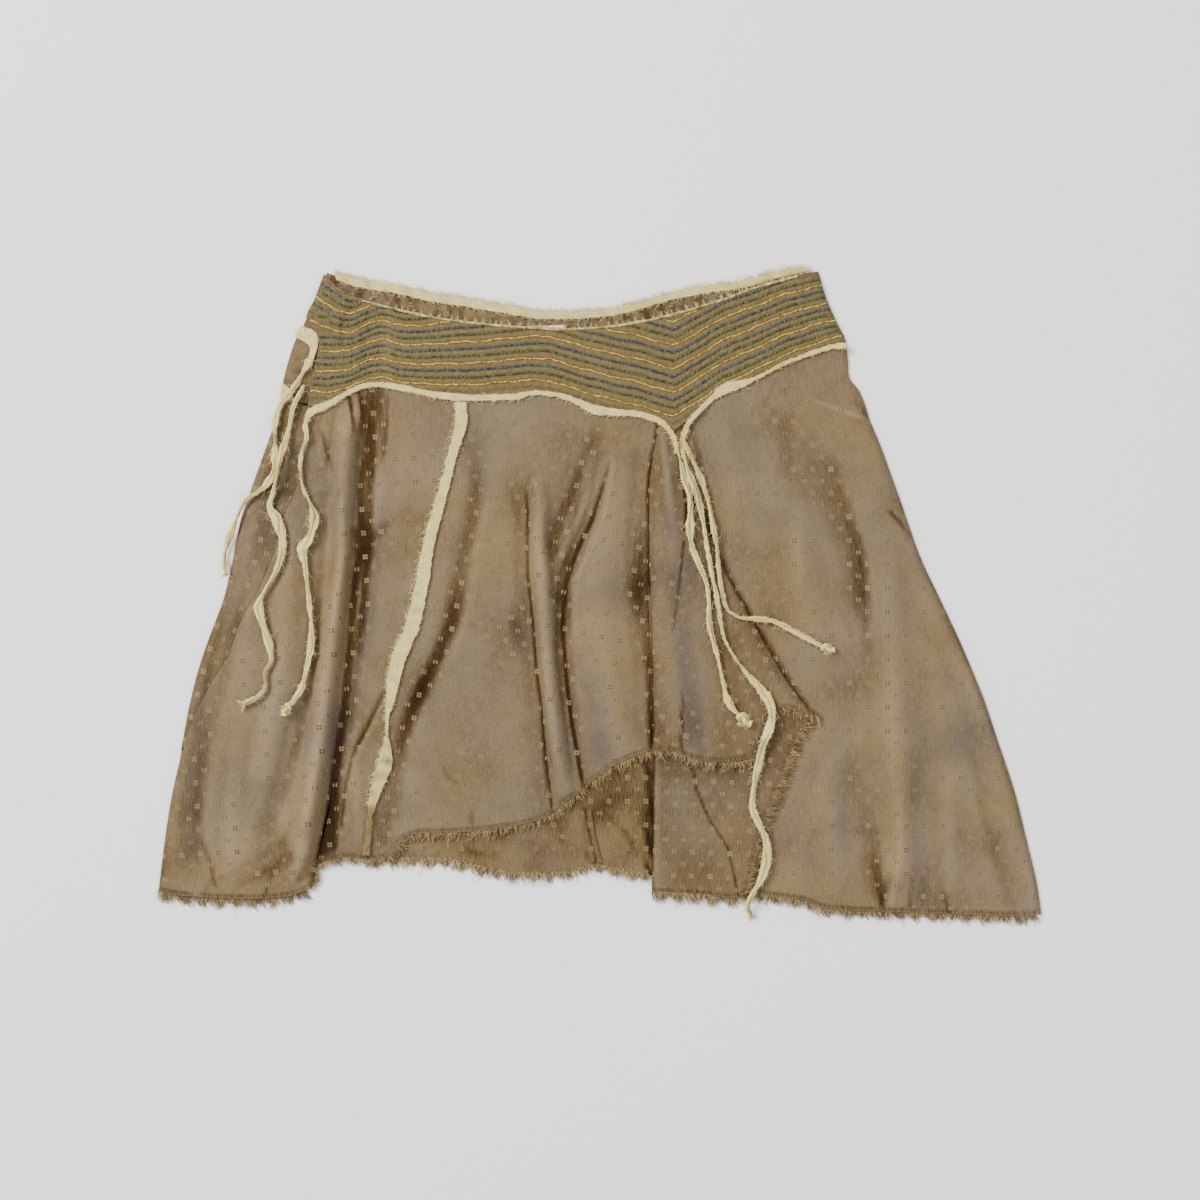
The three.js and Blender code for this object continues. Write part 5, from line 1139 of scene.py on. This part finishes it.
# each thread's thickness, slant across its row and spacing of the stitches; mm
THREADS = [
    ("yellow", thread_material("yellow twisted silk", "#8C7227", "#C9A339", "#E0BF5C"), 0.90, 0.42, 1.95),
    ("green", thread_material("green twisted silk", "#263110", "#425222", "#66723A"), 0.66, 1.10, 1.25),
    ("blue", thread_material("blue twisted silk", "#1A2933", "#324650", "#54676E"), 0.66, 1.10, 1.25)]
for kind, (colour_name, thread, fat, slant, pitch) in enumerate(THREADS):
    paths, rng = [], np.random.default_rng(40 + kind)
    for row in range(kind, 19, 3):
        xs = np.arange(-240, 199, 0.5)
        ys = row_height(xs, row) + 0.35 * np.sin(xs * 0.21 + row) + 0.2 * np.sin(xs * 0.57 + 2 * row)
        at = np.r_[0, np.cumsum(np.hypot(np.diff(xs), np.diff(ys)))]
        spots = np.arange(0, at[-1], pitch)
        px, py = np.interp(spots, at, xs), np.interp(spots, at, ys)
        slope = np.gradient(py, px)
        top_edge = np.interp(px, *zip(*sorted(p for part in yoke_top for p in part)))
        left_at = np.interp(py, *zip(*sorted(((p[1], p[0]) for p in yoke_left))))
        right_at = np.interp(py, *zip(*sorted(((p[1], p[0]) for p in yoke_right))))
        inside = (py < top_edge - 2.2) & (px > left_at + 1.2) & (px < right_at - 1.2)
        for sx, sy, sl in zip(px[inside], py[inside], slope[inside]):
            along = np.array([1, sl]) / math.hypot(1, sl)
            over = np.array([-along[1], along[0]])
            reach = along * pitch * 0.527 + over * slant * rng.uniform(0.7, 1.25) * 0.8
            loose_by = 0.10 if kind == 0 else 0.30
            start = np.array([sx, sy]) - reach + rng.normal(0, loose_by, 2)
            finish = np.array([sx, sy]) + reach + rng.normal(0, loose_by, 2)
            paths.append([(*start, -0.25), (*(start * 0.7 + finish * 0.3), 0.35),
                (*(start * 0.3 + finish * 0.7), 0.35), (*finish, -0.25)])
    paths = np.array(paths)
    face = yoke_face(paths[..., 0], paths[..., 1])
    face = hung_over(paths[..., 0], paths[..., 1], face, yoke_right)
    paths[..., 2] += face + 0.12
    # each stitch is four rings of five points, a plump thread that dives into the cloth at both ends
    run = unit(np.gradient(paths, axis=1))
    side = unit(np.cross(run, [0, 0, 1.0]))
    other = np.cross(run, side)
    thick = fat * np.array([0.45, 1, 1, 0.45])[None, :, None] * 0.62
    ring = np.stack([paths + thick * (side * math.cos(t) + 0.8 * other * math.sin(t))
        for t in np.arange(5) * 2 * math.pi / 5], axis=2)
    faces = [f for i in range(len(paths)) for f in rings_to_faces(4, 5, i * 20)]
    shade = np.repeat(np.random.default_rng(50 + kind).uniform(-1, 1, len(paths)), 20)
    cloth_piece("stitches_" + colour_name, ring.reshape(-1, 3) * MM, faces, thread,
        None, shade, 80)

# ---- Placket, patches and label ----
# A plain strip of satin closes the yoke's left end, two scraps of cream voile are sewn to the back yoke
# beside it, and a blank woven label is folded into the waist, where only its edge shows.
def little_cloth(name, left, right, top, thick, material, node, rows, cols, lean, wave, shade=0.0):
    """A small four-sided cloth between its left and right sides, given from the top down; mm."""
    left, right = smooth_line(left, rows), smooth_line(right, rows)
    grid = gore([left, right], [np.linspace(left[0], right[0], cols)],
        [np.linspace(left[-1], right[-1], cols)])
    x, y = grid[..., 0], grid[..., 1]
    face = top + wave * crumple(x, y, 9, len(name))
    tone = shade + 0.2 * crumple(x, y, 7, len(name) + 1)
    return wall(name, grid, face, face - thick, material, tone, lean, node)


placket = little_cloth("cloth_yoke_placket", places("-227.8 198, -237 180, -243.2 158.6"),
    places("-226.6 198, -231.2 177, -234.6 157.6"),
    3.2, 1.2, satin, "yoke_placket", 30, 8, 10, 0.1, -0.1)
patch_upper = little_cloth("patch_side_upper_voile",
    places("-240 219.6, -244 211.5, -238 207.4, -232.8 203.4, -232.2 198, -234.8 190"),
    places("-231 217, -225.6 212, -225.8 207, -226.6 201, -228 196, -230 188"),
    2.75, 0.7, torn_voile, "patch_side_upper", 30, 12, 0, 0.25, 0.3)
# its lower end rises to where the outermost tie is sewn to it
for vertex in patch_upper.data.vertices:
    vertex.co.z += 0.0026 * float(ramp((204 - vertex.co.y / MM) / 10))
patch_lower = little_cloth("patch_side_lower_voile", places("-254.5 174, -255.4 167, -256 159.5"),
    places("-253 173.2, -247.6 168, -244.5 160"),
    2.7, 0.7, torn_voile, "patch_side_lower", 16, 12, 0, 0.25, 0.3)
woven, add, surface = new_material("plain woven label, blank")
place = add("TexCoord").outputs["Object"]
# ribs of the weave, 0.3 mm in the real one, drawn 0.8 mm apart
ribs = add("TexWave", Vector=place, Scale=200.0, Distortion=0.6, bands_direction="Y")
ribs = ribs.outputs["Fac"]
colour = add("Mix", ribs, "#E2BDA9", "#F6D6C4", data_type="RGBA")
relief = add("Bump", Strength=0.3, Distance=0.0002, Height=ribs)
add("BsdfPrincipled", Base_Color=colour, Roughness=0.6, Normal=relief, to=surface)
label = little_cloth("label_woven_blank", places("-66 218.9, -66 212.4"), places("-28 220.4, -28 211.4"),
    2.75, 0.5, woven, "label_blank", 10, 30, 0, 0.08)

# ---- Torn trims ----
# Strips torn from the same cream voile, laid flat over the seams and caught down along the middle, so that
# their frayed edges lift a little. One frays out along the back's waist.
TRIMS = {
    "yoke_left": dict(node="trim_yoke_left", top=6.35, frayed=(0.6, 1.1), tone=0.25, upper=places("""
    -237 143, -235.5 150, -230 155.5, -215 160.5, -207 165, -200 169, -190 173, -180 174.4, -160 173,
    -140 168.5, -120 166, -100 164.5, -85 165, -70 165.5, -50 167.5, -30 165.5, -15 160.5, 0 155.5, 20 152.5,
    40 149.5, 51 144, 58 136, 62.5 127, 65 117"""),
        lower=places("""-230.5 142,
    -229 147, -225 150, -219 152, -210 157, -203 162, -192 167.5, -180 170, -165 168, -140 163, -124 159.5,
    -110 158.5, -86 159, -64 160, -57 163, -40 162.5, -20 156.5, -10 150, 0 147, 30 146, 46 140.5, 53 134.5,
    57.5 126, 60 117""")),
    "yoke_right": dict(node="trim_yoke_right", top=6.35, frayed=(0.4, 0.8), tone=0.2, upper=places("""
    63.5 118, 63.5 128, 66 137, 72 147.5, 80 155.5, 88 163.5, 95 171.5, 102 175, 114 176.5, 126 180,
    145 190.5, 160 196, 175 201.5, 186 205, 197 206.5"""),
        lower=places("""69 116, 69 126, 71 135, 76 144, 84 152.5, 92 159.5, 100 163.5, 106 165.6, 118 171,
    131 178.5, 148 187, 162 192.5, 178 198, 187 200, 197.5 200.5""")),
    "front_seam": dict(node="trim_front_seam", top=6.35, frayed=(0.5, 1.7), tone=0.1, upper=places("""
    -106.5 158, -106 142, -115 112, -125 72, -132 44, -137 12, -144 -21, -152 -40, -158.5 -60, -163.5 -80,
    -168.5 -94, -169 -108, -166.5 -120, -165.5 -130, -168.5 -140, -173 -150, -177 -160, -181 -171,
    -182.5 -186, -184 -204"""),
        lower=places("""-116 158.5, -116 142,
    -123 112, -134 72, -142 44, -148 12, -156.5 -21, -165 -40, -170 -60, -171 -80, -171.4 -95, -172.2 -110,
    -176 -122, -178 -131, -180.5 -141, -183 -150, -185 -160, -186 -171, -188 -186, -190 -204""")),
    "waist_back": dict(node="trim_waist_back", top=2.75, frayed=(2.6, 1.2), tone=0.1, upper=places("""
    -213 262, -192 256.6, -163 251.6, -136 245.6, -107 241, -78 236, -49 230.8, -20 230.6, 9 233.2, 33 238.6,
    58 245.6, 85 251, 105 253.5, 122 257, 139 262.5, 156 265, 168 266.4"""),
        lower=places("""-211 256.4, -192 250.4, -163 245.6, -136 239.4, -107 235, -78 230,
    -49 225.4, -20 225.3, 9 227.8, 33 233.4, 58 240.4, 85 246, 105 248.5, 122 252, 139 257.6, 156 261,
    168 263.5""")),
}
STRIP_STEP = 1.1  # mm between two rows of points along a strip
for key, trim in TRIMS.items():
    long = np.linalg.norm(np.diff(np.array(trim["upper"], float), axis=0), axis=1).sum()
    steps = int(long / STRIP_STEP)
    a, b = smooth_line(trim["upper"], steps), smooth_line(trim["lower"], steps)
    # the torn strip is a little narrower than the seam it covers, least so at its ends
    slim = {"yoke_left": 0.10, "yoke_right": 0.12, "front_seam": 0.04, "waist_back": 0.0}[key]
    a, b = a * (1 - slim) + b * slim, b * (1 - slim) + a * slim
    if key == "waist_back":
        a = a * 1.04 - b * 0.04
    rng = np.random.default_rng(len(key))
    jag_a, jag_b = (np.convolve(rng.normal(0, 1, steps + 4), np.ones(3) / 3, "valid")[:steps] for _ in (0, 1))
    way = b - a
    span = np.linalg.norm(way, axis=1, keepdims=True)
    way = way / span
    limit = np.minimum(0.45, 0.12 * span)
    a, b = a + way * jag_a[:, None] * limit, b + way * jag_b[:, None] * limit
    across = np.linspace(0, 1, 9)[None, :, None]
    # the rows run across the strip's length, from its upper line to its lower one
    grid = (a[None] * (1 - across.transpose(1, 0, 2)) + b[None] * across.transpose(1, 0, 2))
    if key == "front_seam":
        grid = grid[::-1]
    x, y = grid[..., 0], grid[..., 1]
    s = np.linspace(-1, 1, 9)[:, None]
    # long soft pleats that wander along the strip, and one edge rolled over
    at = np.linspace(0, long, steps)[None, :]
    pleats = np.sin(2.6 * np.pi * (s + 0.55 * np.sin(at / 19 + len(key))) + 1.5 * np.sin(at / 31))
    folded = 0.35 if key == "front_seam" else 1.0
    rim = s ** 2
    lively = 0.24 * pleats + 0.18 * rim * crumple(x, y, 6, 62)
    top = trim["top"] + 0.18 * crumple(x, y, 11, 61) + folded * lively
    # painted shade in the pleats' troughs and a painted highlight on their ridges, over a tone that varies at
    # random
    tone = trim["tone"] + 0.30 * crumple(x, y, 14, 63) + folded * 0.26 * pleats + 0.08 * crumple(x, y, 3, 65)
    if key == "front_seam":
        tone = tone - 0.45 * ramp((-98 - y) / 18) - 0.8 * ramp((-162 - y) / 9)
    flat_way = 90 if key != "front_seam" else 13
    piece = wall("voile_trim_" + key, grid, np.maximum(top, trim["top"] - 0.4),
        np.full(x.shape, trim["top"] - 0.95), torn_voile, tone, flat_way, trim["node"])
    # frayed threads along both edges
    hairs = []
    way_on = unit(np.gradient(a, axis=0))
    for edge, out, share in ((a, -way, trim["frayed"][0]), (b, way, trim["frayed"][1])):
        for i in range(steps - 1):
            for _ in range(rng.poisson(1.7 * share)):
                t = rng.uniform()
                start = edge[i] * (1 - t) + edge[i + 1] * t
                if key == "front_seam" and start[1] < -164:
                    continue
                far = min(rng.gamma(2.0, 0.55) * (0.6 + 0.6 * share), 5.0)
                lean = (edge[i + 1] - edge[i]) * rng.uniform(-1.0, 1.0)
                z0 = trim["top"] - 0.45
                lean = lean + way_on[i] * rng.normal(0, 0.8) * far
                drop = rng.uniform(0.1, 0.9)
                hairs.append([(*(start - out[i] * 0.8), z0),
                    (*(start + out[i] * far * 0.6 + lean * 0.3), z0 + 0.25),
                    (*(start + out[i] * far * 0.9 + lean), z0 - drop)])
    fray = threads("trim_threads_" + key, np.array(hairs) * MM, VOILE_THREAD, torn_voile, 71,
        darkest=0.1)

# The front yoke's top edge: a narrow bias binding of the same voile.
line_mid = smooth_line(places("""-190 239.4, -163 232.4, -130 225.2, -90 220.3, -52 217.2, -28 216.4,
    4 218.2, 46 225.2, 98 240, 122 249, 158 259"""), 300)
way = unit(np.gradient(line_mid, axis=0))
out = np.stack([-way[:, 1], way[:, 0]], 1)
s = np.linspace(-1, 1, 7)
width = 0.75 + 0.35 * crumple(line_mid[:, 0], line_mid[:, 1], 12, 83)
grid = line_mid[None] - out[None] * s[:, None, None] * np.maximum(width, 0.4)[None, :, None]
top = 5.7 + 0.30 * (1 - s[:, None] ** 2) + 0.12 * crumple(grid[..., 0], grid[..., 1], 6, 81)
binding = wall("voile_waist_binding", grid, top, np.full(top.shape, 5.42), torn_voile,
    -0.4 + 0.6 * crumple(grid[..., 0], grid[..., 1], 6, 82), 90, "binding_waist_front")
# Tufts of pale thread that stand out of the facing, above the front's top edge.
rng = np.random.default_rng(91)
hairs = []
for place in np.arange(2, 297, 0.5):
    i = int(place)
    tuft = max(0.0, math.sin(place * 1.25 + 2 * math.sin(place * 0.21))) ** 2
    for _ in range(rng.poisson(0.5 + 2.6 * tuft)):
        start = line_mid[i] + out[i] * 0.6 + way[i] * rng.uniform(-0.8, 0.8)
        far = rng.uniform(0.25, 1.0) * (1.5 + 4.0 * tuft)
        tip = start + out[i] * far + way[i] * rng.uniform(-1.4, 1.4)
        hairs.append([(*start, 4.4), (*(start * 0.5 + tip * 0.5), 4.3), (*tip, 3.3)])
waist_tufts = threads("thread_tufts_waist", np.array(hairs) * MM, 0.00026, torn_voile, 92,
    darkest=0.1)

# ---- Frayed hems ----
# Every raw edge is frayed: short kinked golden-brown threads of the satin's weft, in uneven tufts. All but
# the back's hem are also overlocked a few mm in, above the frayed threads.
WEFT_THREAD, OVERLOCK_THREAD = 0.00030, 0.00017  # m: each thread's radius
ROOT_GAP, TOOTH_GAP, BITE = 0.42, 0.75, 4.2  # mm: between frayed threads, between stitches, a stitch's depth
frayed_weft = thread_material("frayed viscose weft", "#3B2B16", "#77613D", "#AE9464", 0.8)
overlock_thread = thread_material("overlocking thread", "#3B2D19", "#625136", "#7F6C4C", 0.8)
# each edge's line, its threads' shortest and longest reach, their lean, and their height at root and tip; mm
back_hem_line = smooth_line([(-186, -207.2), *back_left_low[6:], *back_right_low[1:3]], 170)
HEMS = {
    "left": dict(node="fringe_hem_left", line=grid_left[-1, :60], far=(5.5, 10.5), lean=0.10, up=1.7,
        down=0.5),
    "pleat": dict(node="fringe_hem_pleat", line=grid_left[-1, 59:], far=(4.0, 7.5), lean=0.3, up=2.6,
        down=2.1),
    "centre": dict(node="fringe_hem_centre", line=grid_centre[-1], far=(4.0, 9.0), lean=-0.25, up=2.6,
        down=2.0),
    "godet": dict(node="fringe_hem_godet", line=grid_godet[-1], far=(4.0, 9.5), lean=0.15, up=5.9, down=5.2),
    "slit": dict(node="fringe_slit", line=grid_under[::-1, -1][:-2], far=(5.0, 10.5), lean=0.35, up=4.4,
        down=3.9),
    "back": dict(node="fringe_hem_back", line=back_hem_line, far=(5.0, 10.0), lean=0.0, up=0.9, down=0.4),
    "underlay": dict(node="fringe_hem_underlay", line=grid_under[-1], far=(5.5, 10.0), lean=0.1, up=2.9,
        down=0.7),
    "right": dict(node="fringe_hem_right", line=grid_right[-1], far=(4.6, 9.6), lean=0.15, up=2.4, down=0.5),
}
fringes = {}
for number, (key, hem) in enumerate(HEMS.items()):
    rng = np.random.default_rng(100 + number)
    line = smooth_line(hem["line"][::3], 400)
    long = np.linalg.norm(np.diff(line, axis=0), axis=1).sum()
    way = unit(np.gradient(line, axis=0))
    out = np.stack([way[:, 1], -way[:, 0]], 1)
    hairs = []
    for place in np.arange(0, long, ROOT_GAP):
        i = min(int(place / long * 399), 398)
        tuft = 0.5 + 0.5 * math.sin(place * 0.9 + 2 * math.sin(place * 0.31))
        for _ in range(2):
            far = (hem["far"][0] + (hem["far"][1] - hem["far"][0]) * rng.beta(2, 2.4)) * (0.62 + 0.55 * tuft)
            far *= 1.35 if rng.uniform() > 0.95 else 1.0
            start = line[i] - out[i] * rng.uniform(0.2, 1.2)
            lean = hem["lean"] + rng.normal(0, 0.30) + 0.35 * math.sin(place * 0.45)
            tip = start + out[i] * far + way[i] * far * lean
            bow = way[i] * rng.normal(0, 0.16) * far
            z0, z1 = hem["up"], hem["down"] + rng.uniform(0, 0.7)
            hairs.append([(*start, z0), (*(start * 0.66 + tip * 0.34 + bow), z0 * 0.7 + z1 * 0.3 + 0.25),
                (*(start * 0.3 + tip * 0.7 + bow * 0.6), z0 * 0.3 + z1 * 0.7), (*tip, z1)])
    fringe = threads("frayed_hem_" + key, np.array(hairs) * MM, WEFT_THREAD, frayed_weft,
        120 + number, 0.35)
    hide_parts(hem["node"])
    # the overlocked edge: one thread that zigzags over the raw edge
    teeth = int(long / TOOTH_GAP)
    zig = smooth_line(line, teeth)
    way = unit(np.gradient(zig, axis=0))
    inward = np.stack([-way[:, 1], way[:, 0]], 1)
    reach = np.where(np.arange(teeth) % 2, BITE, 0.2) + rng.uniform(-0.25, 0.25, teeth)
    fringes[key] = [fringe]
    hem["zig"] = zig + inward * reach[:, None]

# The overlocking lies on the cloth, so it takes its height from the gore that it edges.
EDGED = {"left": (grid_left, top_left), "pleat": (grid_left, top_left), "centre": (grid_centre, top_centre),
    "godet": (grid_godet, top_godet), "slit": (grid_under, top_under), "underlay": (grid_under, top_under),
    "right": (grid_right, top_right)}
for number, (key, (grid, top)) in enumerate(EDGED.items()):
    zig = HEMS[key]["zig"]
    flat_grid, flat_top = grid.reshape(-1, 2), top.ravel()
    near = np.array([flat_top[np.argmin(((flat_grid - p) ** 2).sum(axis=1))] for p in zig])
    body = np.column_stack([zig, near + 0.12])
    paths = np.stack([body[:-1], (body[:-1] + body[1:]) / 2 + [0, 0, 0.1], body[1:]], axis=1)
    fringes[key].append(threads("overlock_" + key, paths * MM, OVERLOCK_THREAD, overlock_thread,
        140 + number, 1.0))
